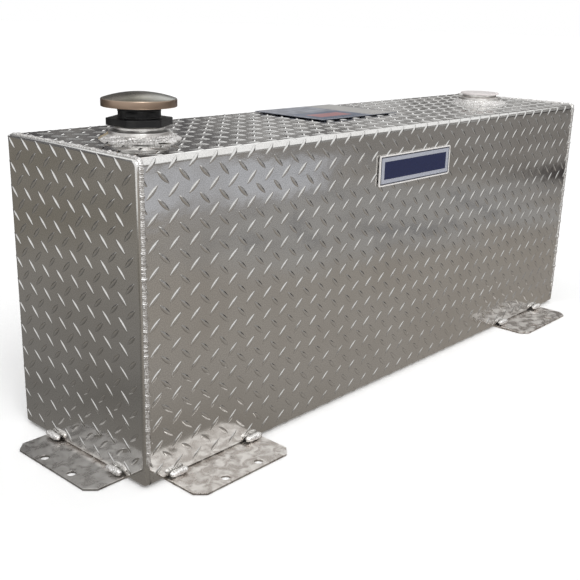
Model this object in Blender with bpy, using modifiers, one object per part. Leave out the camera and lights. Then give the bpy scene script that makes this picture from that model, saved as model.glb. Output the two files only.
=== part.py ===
"""Truck bed transfer tank, modelled as it is made.

A tread-plate sheet is folded round the tank and welded to two pressed end pans. Two baffles
stand inside. The top carries two welded bungs: the left one holds the filler neck and its
vented cap, the right one a push-in plug. Four drilled tabs are welded underneath.

Metres, +Z up, +X along the tank to the right, -Y out of the long front face.
The origin is the centre of the footprint, on the floor under the tabs.
"""

import math

import bmesh
import bpy
from mathutils import Matrix, Vector

# General
PART_NAME = "transfer_tank"
GAP = 0.0003                    # clearance left between pieces that touch
TURN_STEPS = 28                 # facets round a large turned piece
SMALL_TURN_STEPS = 16

# Shell
LENGTH = 1.2192
DEPTH = 0.300
HEIGHT = 0.4572
SHEET = 0.0032                  # tread plate between its lugs
TOP_BEND = 0.010                # outer radii of the folds
BOTTOM_BEND = 0.0055
END_BEND = 0.0045
BEND_STEPS = 3
END_RIM_FLAT = 0.004            # the straight stretch of an end pan's rim behind its fold
SEAM_FROM_BACK = 0.045          # the folded sheet's butt seam, under the tank

# Tread of the front: lugs in two crossed sets, the falling ones half a pitch on both ways
LUG_PITCH = 0.0359
LUG_LENGTH = 0.0285
LUG_WIDTH = 0.0074
LUG_HEIGHT = 0.0016
LUG_ROOT = 0.0004               # how deep a lug is sunk in the sheet
LUG_SLANT = 43                  # degrees from the level
TREAD_FROM_LEFT = 0.0239        # where the rising lugs' grid starts
TREAD_FROM_TOP = 0.0089

# Weld beads on the shell
BEAD_WIDTH = 0.006
BEAD_HEIGHT = 0.0016
BEAD_ROUNDING = 0.0013
BEAD_END_CLEARANCE = 0.022      # the end beads stop this far above the bottom fold

# Baffles
BAFFLE_SHEET = 0.0025
BAFFLE_FLANGE = 0.022
BAFFLE_BEND = 0.005
BAFFLE_CORNER_CUT = 0.045
BAFFLE_HOLE_RADIUS = 0.028
BAFFLE_HOLE_SPACING = 0.170
BAFFLE_SPACING = 0.4064         # between the two baffles, centred on the tank

# Bungs, measured from the tank's top face
FILLER_FROM_LEFT = 0.1206
PUMP_FROM_RIGHT = 0.1655
BUNG_FROM_FRONT = 0.145
BUNG_BORE_RADIUS = 0.0300
BUNG_SPIGOT_WALL = 0.0045
BUNG_SPIGOT_DEPTH = 0.010
BUNG_COLLAR_WALL = 0.0058
BUNG_COLLAR_HEIGHT = 0.0036     # above the flange
BUNG_FLANGE_WIDTH = 0.0090      # outside the collar
BUNG_FLANGE_EDGE = 0.0115       # thickness at the rim
BUNG_FLANGE_SLOPE = 0.0024      # rise from the rim to the collar
BUNG_WELD_LEG = 0.0150
BUNG_WELD_HEIGHT = 0.0082
BUNG_WELD_TOE = 0.0008

# Filler neck
NECK_WASHER_THICKNESS = 0.0012
HEX_CORNER_RADIUS = 0.048
HEX_HEIGHT = 0.0102
NECK_SPIGOT_WALL = 0.0045
NECK_SPIGOT_LENGTH = 0.024
NECK_WALL = 0.0058
NECK_HEIGHT = 0.0119            # above the hexagon
NECK_WINDOWS = 6
NECK_WINDOW_WIDTH = 0.019
NECK_WINDOW_HEIGHT = 0.0065
NECK_WINDOW_DEPTH = 0.0022

# Cap
GASKET_THICKNESS = 0.0050
GASKET_OVERHANG = 0.0018        # outside the neck
GASKET_SETBACK = 0.0010         # outside the neck's bore
CAP_RADIUS = 0.054
CAP_RIM_HEIGHT = 0.0108
CAP_CROWN_HEIGHT = 0.0093
CAP_CORNER = 0.0022
CAP_SHEET = 0.0012
CAP_LIP = 0.0036                # how far the rim is turned in under the backing plate
CAP_CROWN_STEPS = 4
CORE_CLEARANCE = 0.0005
CORE_WALL = 0.0030
CORE_DEPTH = 0.021
VENT_HOLE_RADIUS = 0.0030
VENT_HOLE_COUNT = 4
FILTER_RADIUS = 0.040
FILTER_BORE_RADIUS = 0.010
FILTER_THICKNESS = 0.0045
RIVET_RADIUS = 0.0030
RIVET_HEAD_RADIUS = 0.0060
RIVET_HEAD_HEIGHT = 0.0018

# Plug of the pump bung
PLUG_OVERHANG = 0.0046          # outside the bung's collar
PLUG_TOP_THICKNESS = 0.0040
PLUG_SKIRT_DEPTH = 0.016
PLUG_WALL = 0.0018
PLUG_CLEARANCE = 0.0004

# Mounting tabs
TAB_SHEET = 0.0032
TAB_LENGTH = 0.190
TAB_LAP = 0.0305                # how far a tab is lapped under the tank
TAB_CHAMFER = 0.0145
TAB_HOLE_RADIUS = 0.0068
TAB_HOLE_SPACING = 0.067
TAB_HOLE_FROM_EDGE = 0.0133
FRONT_TAB_REACH = 0.071         # how far a tab stands out of the face above it
END_TAB_REACH = 0.0614
FRONT_LEFT_TAB_START = 0.038    # from the tank's left end to the tab
FRONT_RIGHT_TAB_START = 0.068   # from the tank's right end to the tab
END_TAB_START = 0.045           # from the tank's front face to the tab
STITCH_RADIUS = 0.0055
STITCH_LENGTH = 0.032
STITCH_INSET = 0.003            # from the tab's end
STITCH_ROUNDING = 0.0025
STITCH_SIDES = 10

# Plates fixed to the shell
BADGE_LENGTH = 0.212
BADGE_WIDTH = 0.052
BADGE_THICKNESS = 0.0022
BADGE_CORNER = 0.006
BADGE_FROM_LEFT = 0.6065
BADGE_FROM_TOP = 0.071
LABEL_LENGTH = 0.218
LABEL_WIDTH = 0.168
LABEL_THICKNESS = 0.0022
LABEL_CORNER = 0.005
LABEL_FROM_LEFT = 0.6065
LABEL_FROM_FOLD = 0.002         # behind the label, to the start of the back fold

# Places that follow from the sizes above
LEFT = -LENGTH / 2
RIGHT = LENGTH / 2
FRONT = (FRONT_TAB_REACH - DEPTH - GAP - BEAD_HEIGHT) / 2
BACK = FRONT + DEPTH
TAB_TOP = TAB_SHEET
BOTTOM = TAB_TOP + GAP
TOP = BOTTOM + HEIGHT
END_RIM = END_BEND + END_RIM_FLAT
BUNG_Y = FRONT + BUNG_FROM_FRONT
FILLER_X = LEFT + FILLER_FROM_LEFT
PUMP_X = RIGHT - PUMP_FROM_RIGHT
BUNG_SPIGOT_RADIUS = BUNG_BORE_RADIUS + BUNG_SPIGOT_WALL
BUNG_COLLAR_RADIUS = BUNG_BORE_RADIUS + BUNG_COLLAR_WALL
BUNG_FLANGE_RADIUS = BUNG_COLLAR_RADIUS + BUNG_FLANGE_WIDTH
BUNG_TOP = GAP + BUNG_FLANGE_EDGE + BUNG_FLANGE_SLOPE + BUNG_COLLAR_HEIGHT
NECK_BORE_RADIUS = BUNG_BORE_RADIUS - GAP - NECK_SPIGOT_WALL
NECK_RADIUS = NECK_BORE_RADIUS + NECK_WALL
NECK_SEAT = TOP + BUNG_TOP + GAP + NECK_WASHER_THICKNESS + GAP
NECK_TOP = NECK_SEAT + HEX_HEIGHT + NECK_HEIGHT
BACKING_BOTTOM = NECK_TOP + GAP + GASKET_THICKNESS + GAP


def clear_scene():
    """Take every object out of the open file."""
    for old in list(bpy.data.objects):
        bpy.data.objects.remove(old)


def new_collection(name):
    """Return a new collection linked to the scene."""
    collection = bpy.data.collections.new(name)
    bpy.context.scene.collection.children.link(collection)
    return collection


def new_material(name, colour, roughness, metallic):
    """Return a Principled material of one colour."""
    material = bpy.data.materials.new(name)
    material.use_nodes = True
    shader = material.node_tree.nodes["Principled BSDF"]
    shader.inputs["Base Color"].default_value = (*colour, 1.0)
    shader.inputs["Roughness"].default_value = roughness
    shader.inputs["Metallic"].default_value = metallic
    return material


def add_object(name, mesh, finish):
    """Put a mesh into the part as a named sub-part with its finish (colour, roughness, metallic)."""
    mesh.materials.append(new_material(name + "_finish", *finish))
    piece = bpy.data.objects.new(name, mesh)
    part_collection.objects.link(piece)
    return piece


def add_cutter(name, mesh):
    """Put a mesh into the cutters' collection, hidden from renders."""
    cutter = bpy.data.objects.new(name, mesh)
    cutter.hide_render = True
    cutter.display_type = "WIRE"
    cutter_collection.objects.link(cutter)
    return cutter


def mesh_from(bm, name):
    """Turn a bmesh into a mesh."""
    mesh = bpy.data.meshes.new(name)
    bm.to_mesh(mesh)
    bm.free()
    return mesh


def apply_boolean(piece, tool, operation):
    """Cut or join one object with another."""
    modifier = piece.modifiers.new(operation.lower() + "_" + tool.name, "BOOLEAN")
    modifier.operation = operation
    modifier.object = tool
    modifier.solver = "EXACT"


def add_bevel(piece, width, segments, angle):
    """Round the edges that fold by more than the given angle, in degrees."""
    modifier = piece.modifiers.new("rounded_edges", "BEVEL")
    modifier.width = width
    modifier.segments = segments
    modifier.limit_method = "ANGLE"
    modifier.angle_limit = math.radians(angle)


def add_wall(piece, thickness, outwards=False):
    """Give an open surface its wall, inwards unless told otherwise."""
    modifier = piece.modifiers.new("wall", "SOLIDIFY")
    modifier.thickness = thickness
    modifier.offset = 1 if outwards else -1
    modifier.use_even_offset = True


def box_mesh(name, size):
    """A box centred on the origin."""
    bm = bmesh.new()
    bmesh.ops.create_cube(bm, size=1.0)
    bmesh.ops.scale(bm, vec=size, verts=bm.verts)
    return mesh_from(bm, name)


def cylinder_mesh(name, radius, depth, sides):
    """An upright cylinder centred on the origin."""
    bm = bmesh.new()
    bmesh.ops.create_cone(bm, cap_ends=True, segments=sides, radius1=radius, radius2=radius, depth=depth)
    return mesh_from(bm, name)


def plate_mesh(name, size, corner, corner_segments):
    """A flat plate centred on the origin with its four upright corners rounded or chamfered."""
    bm = bmesh.new()
    bmesh.ops.create_cube(bm, size=1.0)
    bmesh.ops.scale(bm, vec=size, verts=bm.verts)
    upright = [edge for edge in bm.edges if abs(edge.verts[0].co.z - edge.verts[1].co.z) > size[2] / 2]
    bmesh.ops.bevel(bm, geom=upright, offset=corner, segments=corner_segments, affect="EDGES", profile=0.5)
    return mesh_from(bm, name)


def turned_object(name, profile, finish, steps=TURN_STEPS):
    """A turned piece from (radius, height) points: a closed loop, or a line from axis to axis."""
    bm = bmesh.new()
    verts = [bm.verts.new((radius, 0, height)) for radius, height in profile]
    for start, end in zip(verts, verts[1:]):
        bm.edges.new((start, end))
    if profile[0][0] > 0:
        bm.edges.new((verts[-1], verts[0]))
    piece = add_object(name, mesh_from(bm, name), finish)
    screw = piece.modifiers.new("turn", "SCREW")
    screw.axis = "Z"
    screw.angle = math.tau
    screw.steps = steps
    screw.render_steps = steps
    screw.use_merge_vertices = True
    screw.merge_threshold = 0.00001
    return piece


def rounded_path(corners, closed):
    """A flat path through corners given as (point, radius), each rounded by an arc of its radius."""
    path = []
    for index, (corner, radius) in enumerate(corners):
        point = Vector(corner)
        if radius == 0 or (not closed and index in (0, len(corners) - 1)):
            path.append(point)
            continue
        towards_last = (Vector(corners[index - 1][0]) - point).normalized()
        towards_next = (Vector(corners[(index + 1) % len(corners)][0]) - point).normalized()
        half_angle = towards_last.angle(towards_next) / 2
        reach = radius / math.tan(half_angle)
        centre = point + (towards_last + towards_next).normalized() * radius / math.sin(half_angle)
        first = point + towards_last * reach - centre
        last = point + towards_next * reach - centre
        for step in range(BEND_STEPS + 1):
            turn = first.angle(last) * step / BEND_STEPS
            blend = first * math.sin(first.angle(last) - turn) + last * math.sin(turn)
            path.append(centre + blend / math.sin(first.angle(last)))
    return path


def band_mesh(name, path, to_point, travel, closed):
    """An open band: a flat path placed by to_point and drawn out by travel, facing away from its middle."""
    bm = bmesh.new()
    verts = [bm.verts.new(to_point(point)) for point in path]
    edges = [bm.edges.new(pair) for pair in zip(verts, verts[1:])]
    if closed:
        edges.append(bm.edges.new((verts[-1], verts[0])))
    middle = sum((vert.co for vert in verts), Vector()) / len(verts) + travel / 2
    drawn = bmesh.ops.extrude_edge_only(bm, edges=edges)["geom"]
    far_verts = [item for item in drawn if isinstance(item, bmesh.types.BMVert)]
    bmesh.ops.translate(bm, vec=travel, verts=far_verts)
    bmesh.ops.recalc_face_normals(bm, faces=bm.faces)
    widest = max(bm.faces, key=lambda face: (face.calc_center_median() - middle).length)
    if widest.normal.dot(widest.calc_center_median() - middle) < 0:
        bmesh.ops.reverse_faces(bm, faces=bm.faces)
    return mesh_from(bm, name)


def shell_corners(offset=0.0):
    """The shell's four folded corners, grown by offset, from the bottom at the back round to the front."""
    front, back = FRONT - offset, BACK + offset
    bottom, top = BOTTOM - offset, TOP + offset
    return [
        ((back, bottom), BOTTOM_BEND + offset),
        ((back, top), TOP_BEND + offset),
        ((front, top), TOP_BEND + offset),
        ((front, bottom), BOTTOM_BEND + offset),
    ]


# Finishes: colour, roughness, metallic
BRIGHT_ALUMINIUM = ((0.78, 0.78, 0.77), 0.18, 1.0)
CAST_ALUMINIUM = ((0.66, 0.65, 0.63), 0.38, 1.0)
WELD_METAL = ((0.74, 0.73, 0.72), 0.45, 1.0)
MILL_ALUMINIUM = ((0.70, 0.69, 0.67), 0.32, 1.0)
PASSIVATED_STEEL = ((0.42, 0.37, 0.27), 0.30, 1.0)
ZINC_STEEL = ((0.70, 0.68, 0.64), 0.35, 1.0)
BLACK_PLASTIC = ((0.012, 0.012, 0.014), 0.42, 0.0)
BLACK_RUBBER = ((0.015, 0.015, 0.015), 0.75, 0.0)
GREY_FIBRE = ((0.30, 0.29, 0.27), 0.80, 0.0)
FILTER_FOAM = ((0.10, 0.10, 0.10), 0.95, 0.0)
CLEAR_PLUG = ((0.72, 0.66, 0.64), 0.35, 0.0)
BADGE_BLUE = ((0.20, 0.27, 0.42), 0.35, 0.0)
LABEL_GREY = ((0.45, 0.49, 0.56), 0.40, 0.0)


def lug_mesh(name, slant):
    """A pointed lug that stands up from the origin, full size at the height of the sheet's face."""
    bm = bmesh.new()
    depth = LUG_HEIGHT + LUG_ROOT
    grown = depth / LUG_HEIGHT
    bmesh.ops.create_cone(bm, cap_ends=True, segments=4, radius1=grown / 2, radius2=0, depth=depth)
    bmesh.ops.scale(bm, vec=(LUG_LENGTH, LUG_WIDTH, 1), verts=bm.verts)
    bmesh.ops.rotate(bm, matrix=Matrix.Rotation(slant, 3, "Z"), verts=bm.verts)
    bmesh.ops.translate(bm, vec=(0, 0, depth / 2 - LUG_ROOT), verts=bm.verts)
    return mesh_from(bm, name)


def lug_places(first, start, end, reach):
    """The place of the first lug that fits between start and end at the pitch, and how many fit."""
    skipped = math.ceil((start + reach - first) / LUG_PITCH)
    last = math.floor((end - reach - first) / LUG_PITCH)
    return first + skipped * LUG_PITCH, last - skipped + 1


def add_tread(wrapper):
    """Raise both sets of lugs on the front, clear of its folds, end beads and stitch welds."""
    slope = math.radians(LUG_SLANT)
    side_limit = END_RIM + BEAD_WIDTH / 2 + GAP
    low_limit = HEIGHT - 2 * STITCH_RADIUS - GAP
    half_across = LUG_LENGTH / 2 * math.cos(slope)
    half_down = LUG_LENGTH / 2 * math.sin(slope)
    for name, slant, shift in (("rising_lugs", slope, 0), ("falling_lugs", -slope, LUG_PITCH / 2)):
        across, columns = lug_places(TREAD_FROM_LEFT + shift, side_limit, LENGTH - side_limit, half_across)
        down, rows = lug_places(TREAD_FROM_TOP + shift, TOP_BEND, low_limit, half_down)
        lugs = add_cutter(name, lug_mesh(name, slant))
        lugs.location = (LEFT + across, FRONT, TOP - down)
        lugs.rotation_euler = (math.radians(90), 0, 0)
        ways = (("columns", columns, (LUG_PITCH, 0, 0)), ("rows", rows, (0, -LUG_PITCH, 0)))
        for way, count, offset in ways:
            array = lugs.modifiers.new(way, "ARRAY")
            array.use_relative_offset = False
            array.use_constant_offset = True
            array.constant_offset_displace = offset
            array.count = count
        apply_boolean(wrapper, lugs, "UNION")


def build_wrapper():
    """The sheet folded round the tank: front, top, back and bottom, with a butt seam underneath."""
    seam = BACK - SEAM_FROM_BACK
    corners = [((seam + GAP / 2, BOTTOM), 0), *shell_corners(), ((seam - GAP / 2, BOTTOM), 0)]
    start = LEFT + END_RIM + GAP
    travel = Vector((RIGHT - END_RIM - GAP - start, 0, 0))
    path = rounded_path(corners, closed=False)
    mesh = band_mesh("wrapper", path, lambda point: Vector((start, *point)), travel, closed=False)
    wrapper = add_object("wrapper", mesh, BRIGHT_ALUMINIUM)
    add_wall(wrapper, SHEET)
    for name, centre_x in (("filler_hole", FILLER_X), ("pump_hole", PUMP_X)):
        depth = 4 * SHEET
        cutter = add_cutter(name, cylinder_mesh(name, BUNG_SPIGOT_RADIUS + GAP, depth, TURN_STEPS))
        cutter.location = (centre_x, BUNG_Y, TOP)
        apply_boolean(wrapper, cutter, "DIFFERENCE")
    add_tread(wrapper)
    return wrapper


def build_end_pan(name, face_x, inwards):
    """A pressed end: a plate whose rim is bent back all round to meet the folded sheet."""
    bm = bmesh.new()
    outline = rounded_path(shell_corners(), closed=True)
    face = bm.faces.new([bm.verts.new((face_x, *point)) for point in outline])
    rim = bmesh.ops.extrude_face_region(bm, geom=[face])["geom"]
    rim_verts = [item for item in rim if isinstance(item, bmesh.types.BMVert)]
    bmesh.ops.translate(bm, vec=(inwards * END_RIM, 0, 0), verts=rim_verts)
    open_side = [item for item in rim if isinstance(item, bmesh.types.BMFace)]
    bmesh.ops.recalc_face_normals(bm, faces=bm.faces)
    bmesh.ops.delete(bm, geom=open_side, context="FACES_ONLY")
    pan = add_object(name, mesh_from(bm, name), BRIGHT_ALUMINIUM)
    add_bevel(pan, END_BEND, BEND_STEPS, 60)
    add_wall(pan, SHEET)
    return pan


def build_end_weld(name, joint_x):
    """The bead over the joint of an end pan: up the front, across the top and down the back."""
    outer = shell_corners(GAP)
    stop = BOTTOM + BOTTOM_BEND + BEAD_END_CLEARANCE
    corners = [((outer[0][0][0], stop), 0), outer[1], outer[2], ((outer[3][0][0], stop), 0)]
    path = rounded_path(corners, closed=False)
    start = joint_x - BEAD_WIDTH / 2
    travel = Vector((BEAD_WIDTH, 0, 0))
    mesh = band_mesh(name, path, lambda point: Vector((start, *point)), travel, closed=False)
    bead = add_object(name, mesh, WELD_METAL)
    add_wall(bead, BEAD_HEIGHT, outwards=True)
    add_bevel(bead, BEAD_ROUNDING, 1, 50)
    return bead


def build_seam_weld():
    """The bead along the folded sheet's seam, under the tank."""
    length = LENGTH - 2 * END_RIM - 2 * GAP
    bead = add_object("seam_weld", box_mesh("seam_weld", (length, BEAD_WIDTH, BEAD_HEIGHT)), WELD_METAL)
    bead.location = (0, BACK - SEAM_FROM_BACK, BOTTOM - GAP - BEAD_HEIGHT / 2)
    add_bevel(bead, BEAD_ROUNDING / 2, 1, 50)
    return bead


def build_baffle(name, web_x):
    """A slosh baffle: a plate with folded edges, cut corners and two flow holes."""
    front = FRONT + SHEET + GAP
    back = BACK - SHEET - GAP
    bottom = BOTTOM + SHEET + GAP
    top = TOP - SHEET - GAP
    corners = [
        ((web_x + BAFFLE_FLANGE, front), 0),
        ((web_x, front), BAFFLE_BEND),
        ((web_x, back), BAFFLE_BEND),
        ((web_x + BAFFLE_FLANGE, back), 0),
    ]
    path = rounded_path(corners, closed=False)
    travel = Vector((0, 0, top - bottom))
    mesh = band_mesh(name, path, lambda point: Vector((*point, bottom)), travel, closed=False)
    baffle = add_object(name, mesh, MILL_ALUMINIUM)
    add_wall(baffle, BAFFLE_SHEET)
    cut_side = BAFFLE_CORNER_CUT * math.sqrt(2)
    for y in (front, back):
        for z in (bottom, top):
            cutter_name = f"{name}_cut_{'front' if y == front else 'back'}_{'low' if z == bottom else 'high'}"
            cutter = add_cutter(cutter_name, box_mesh(cutter_name, (4 * BAFFLE_FLANGE, cut_side, cut_side)))
            cutter.location = (web_x, y, z)
            cutter.rotation_euler = (math.radians(45), 0, 0)
            apply_boolean(baffle, cutter, "DIFFERENCE")
    for side in (-1, 1):
        cutter_name = f"{name}_hole_{'low' if side < 0 else 'high'}"
        mesh = cylinder_mesh(cutter_name, BAFFLE_HOLE_RADIUS, 4 * BAFFLE_SHEET, 20)
        cutter = add_cutter(cutter_name, mesh)
        cutter.location = (web_x, (front + back) / 2, (bottom + top) / 2 + side * BAFFLE_HOLE_SPACING / 2)
        cutter.rotation_euler = (0, math.radians(90), 0)
        apply_boolean(baffle, cutter, "DIFFERENCE")
    return baffle


def build_bung(name, centre_x):
    """A turned bung: a spigot through the sheet, a flange on it, and a collar round the bore."""
    profile = [
        (BUNG_BORE_RADIUS, BUNG_TOP),
        (BUNG_COLLAR_RADIUS, BUNG_TOP),
        (BUNG_COLLAR_RADIUS, BUNG_TOP - BUNG_COLLAR_HEIGHT),
        (BUNG_FLANGE_RADIUS, GAP + BUNG_FLANGE_EDGE),
        (BUNG_FLANGE_RADIUS, GAP),
        (BUNG_SPIGOT_RADIUS, GAP),
        (BUNG_SPIGOT_RADIUS, -BUNG_SPIGOT_DEPTH),
        (BUNG_BORE_RADIUS, -BUNG_SPIGOT_DEPTH),
    ]
    bung = turned_object(name, profile, CAST_ALUMINIUM)
    bung.location = (centre_x, BUNG_Y, TOP)
    return bung


def build_bung_weld(name, centre_x):
    """The heavy fillet of weld between a bung's flange and the tank's top."""
    inner = BUNG_FLANGE_RADIUS + GAP
    outer = BUNG_FLANGE_RADIUS + BUNG_WELD_LEG
    crown_height = 0.6 * (BUNG_WELD_HEIGHT + BUNG_WELD_TOE)
    profile = [
        (inner, BUNG_WELD_HEIGHT),
        ((inner + outer) / 2, crown_height),
        (outer, BUNG_WELD_TOE),
        (outer, GAP),
        (inner, GAP),
    ]
    weld = turned_object(name, profile, WELD_METAL)
    weld.location = (centre_x, BUNG_Y, TOP)
    return weld


def build_neck_washer():
    """The fibre washer that seals the filler neck on its bung."""
    low = TOP + BUNG_TOP + GAP
    high = low + NECK_WASHER_THICKNESS
    profile = [
        (BUNG_BORE_RADIUS, high),
        (BUNG_COLLAR_RADIUS, high),
        (BUNG_COLLAR_RADIUS, low),
        (BUNG_BORE_RADIUS, low),
    ]
    washer = turned_object("neck_washer", profile, GREY_FIBRE)
    washer.location = (FILLER_X, BUNG_Y, 0)
    return washer


def build_filler_neck():
    """The moulded adaptor: a spigot screwed into the bung, a spanner hexagon and the cap's neck."""
    spigot_radius = BUNG_BORE_RADIUS - GAP
    middle = NECK_SEAT + HEX_HEIGHT / 2
    profile = [
        (NECK_BORE_RADIUS, NECK_TOP),
        (NECK_RADIUS, NECK_TOP),
        (NECK_RADIUS, middle),
        (spigot_radius, middle),
        (spigot_radius, NECK_SEAT - NECK_SPIGOT_LENGTH),
        (NECK_BORE_RADIUS, NECK_SEAT - NECK_SPIGOT_LENGTH),
    ]
    place = Vector((FILLER_X, BUNG_Y, 0))
    neck = turned_object("filler_neck", profile, BLACK_PLASTIC)
    neck.location = place
    hexagon = add_cutter("neck_hexagon", cylinder_mesh("neck_hexagon", HEX_CORNER_RADIUS, HEX_HEIGHT, 6))
    hexagon.location = place + Vector((0, 0, middle))
    bore = add_cutter("neck_bore", cylinder_mesh("neck_bore", NECK_BORE_RADIUS, 3 * HEX_HEIGHT, TURN_STEPS))
    bore.location = hexagon.location
    apply_boolean(hexagon, bore, "DIFFERENCE")
    apply_boolean(neck, hexagon, "UNION")
    window_z = NECK_SEAT + HEX_HEIGHT + NECK_HEIGHT / 2
    for index in range(NECK_WINDOWS):
        angle = math.tau * (index + 0.5) / NECK_WINDOWS
        name = f"neck_window_{index + 1}"
        size = (2 * NECK_WINDOW_DEPTH, NECK_WINDOW_WIDTH, NECK_WINDOW_HEIGHT)
        cutter = add_cutter(name, box_mesh(name, size))
        outwards = Vector((math.cos(angle), math.sin(angle), 0))
        cutter.location = place + outwards * NECK_RADIUS + Vector((0, 0, window_z))
        cutter.rotation_euler = (0, 0, angle)
        apply_boolean(neck, cutter, "DIFFERENCE")
    return neck


def build_cap_gasket():
    """The rubber ring that the cap squeezes onto the neck."""
    low = NECK_TOP + GAP
    high = low + GASKET_THICKNESS
    bore = NECK_BORE_RADIUS + GASKET_SETBACK
    outer = NECK_RADIUS + GASKET_OVERHANG
    profile = [(bore, high), (outer, high), (outer, low), (bore, low)]
    gasket = turned_object("cap_gasket", profile, BLACK_RUBBER)
    gasket.location = (FILLER_X, BUNG_Y, 0)
    return gasket


def crown_points(rim_radius, rim_height, apex_height, steps):
    """Points of a crown's arc, from the axis at the apex down to its rim."""
    rise = apex_height - rim_height
    radius = (rim_radius ** 2 + rise ** 2) / (2 * rise)
    span = math.asin(rim_radius / radius)
    angles = [span * step / steps for step in range(steps + 1)]
    return [(radius * math.sin(angle), apex_height - radius * (1 - math.cos(angle))) for angle in angles]


def build_cap_dome():
    """The pressed steel dome, its rim turned in under the backing plate."""
    rim_bottom = BACKING_BOTTOM - GAP - CAP_SHEET
    rim_top = rim_bottom + CAP_RIM_HEIGHT
    apex = rim_top + CAP_CROWN_HEIGHT
    outer = crown_points(CAP_RADIUS - CAP_CORNER, rim_top + CAP_CORNER / 2, apex, CAP_CROWN_STEPS)
    inner_radius = CAP_RADIUS - CAP_SHEET
    inner = crown_points(inner_radius, rim_top - CAP_SHEET / 2, apex - CAP_SHEET, CAP_CROWN_STEPS)
    profile = [
        *outer,
        (CAP_RADIUS, rim_top - CAP_CORNER / 2),
        (CAP_RADIUS, rim_bottom + CAP_SHEET / 2),
        (CAP_RADIUS - CAP_SHEET / 2, rim_bottom),
        (CAP_RADIUS - CAP_LIP, rim_bottom),
        (CAP_RADIUS - CAP_LIP, rim_bottom + CAP_SHEET),
        (inner_radius, rim_bottom + CAP_SHEET),
        *reversed(inner),
    ]
    dome = turned_object("cap_dome", profile, PASSIVATED_STEEL)
    dome.location = (FILLER_X, BUNG_Y, 0)
    return dome


def build_backing_plate():
    """The plate trapped by the dome's rim, drilled for the rivet."""
    low, high = BACKING_BOTTOM, BACKING_BOTTOM + CAP_SHEET
    outer = CAP_RADIUS - CAP_SHEET - GAP
    hole = RIVET_RADIUS + GAP
    profile = [(hole, high), (outer, high), (outer, low), (hole, low)]
    plate = turned_object("cap_backing_plate", profile, ZINC_STEEL)
    plate.location = (FILLER_X, BUNG_Y, 0)
    return plate


def build_cap_core():
    """The moulded cup under the cap that drops into the neck, with vent holes in its top."""
    radius = NECK_BORE_RADIUS - CORE_CLEARANCE
    high = BACKING_BOTTOM - GAP
    hole = RIVET_RADIUS + GAP
    profile = [
        (hole, high),
        (radius, high),
        (radius, high - CORE_DEPTH),
        (radius - CORE_WALL, high - CORE_DEPTH),
        (radius - CORE_WALL, high - CORE_WALL),
        (hole, high - CORE_WALL),
    ]
    core = turned_object("cap_core", profile, BLACK_PLASTIC)
    core.location = (FILLER_X, BUNG_Y, 0)
    vent_circle = (RIVET_HEAD_RADIUS + radius - CORE_WALL) / 2
    for index in range(VENT_HOLE_COUNT):
        angle = math.tau * index / VENT_HOLE_COUNT
        name = f"vent_hole_{index + 1}"
        cutter = add_cutter(name, cylinder_mesh(name, VENT_HOLE_RADIUS, 4 * CORE_WALL, 8))
        outwards = Vector((math.cos(angle), math.sin(angle), 0)) * vent_circle
        cutter.location = core.location + outwards + Vector((0, 0, high))
        apply_boolean(core, cutter, "DIFFERENCE")
    return core


def build_vent_filter():
    """The foam ring above the backing plate that filters the air drawn in through the cap."""
    low = BACKING_BOTTOM + CAP_SHEET + GAP
    high = low + FILTER_THICKNESS
    bore = FILTER_BORE_RADIUS
    profile = [(bore, high), (FILTER_RADIUS, high), (FILTER_RADIUS, low), (bore, low)]
    ring = turned_object("vent_filter", profile, FILTER_FOAM, SMALL_TURN_STEPS)
    ring.location = (FILLER_X, BUNG_Y, 0)
    return ring


def build_cap_rivet():
    """The rivet that clamps the core to the backing plate."""
    high = BACKING_BOTTOM + CAP_SHEET + GAP
    low = BACKING_BOTTOM - GAP - CORE_WALL - GAP
    profile = [
        (0, high + RIVET_HEAD_HEIGHT),
        (RIVET_HEAD_RADIUS, high + RIVET_HEAD_HEIGHT / 2),
        (RIVET_HEAD_RADIUS, high),
        (RIVET_RADIUS, high),
        (RIVET_RADIUS, low),
        (RIVET_HEAD_RADIUS, low),
        (RIVET_HEAD_RADIUS, low - RIVET_HEAD_HEIGHT / 2),
        (0, low - RIVET_HEAD_HEIGHT),
    ]
    rivet = turned_object("cap_rivet", profile, ZINC_STEEL, SMALL_TURN_STEPS)
    rivet.location = (FILLER_X, BUNG_Y, 0)
    return rivet


def build_port_plug():
    """The push-in plastic plug of the pump bung: a disc with a hollow skirt in the bore."""
    seat = BUNG_TOP + GAP
    rim = BUNG_COLLAR_RADIUS + PLUG_OVERHANG
    skirt = BUNG_BORE_RADIUS - PLUG_CLEARANCE
    profile = [
        (0, seat + PLUG_TOP_THICKNESS),
        (rim - PLUG_WALL / 2, seat + PLUG_TOP_THICKNESS),
        (rim, seat + PLUG_TOP_THICKNESS - PLUG_WALL / 2),
        (rim, seat),
        (skirt, seat),
        (skirt, seat - PLUG_SKIRT_DEPTH),
        (skirt - PLUG_WALL, seat - PLUG_SKIRT_DEPTH),
        (skirt - PLUG_WALL, seat + PLUG_TOP_THICKNESS - PLUG_WALL),
        (0, seat + PLUG_TOP_THICKNESS - PLUG_WALL),
    ]
    plug = turned_object("port_plug", profile, CLEAR_PLUG)
    plug.location = (PUMP_X, BUNG_Y, TOP)
    return plug


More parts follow.
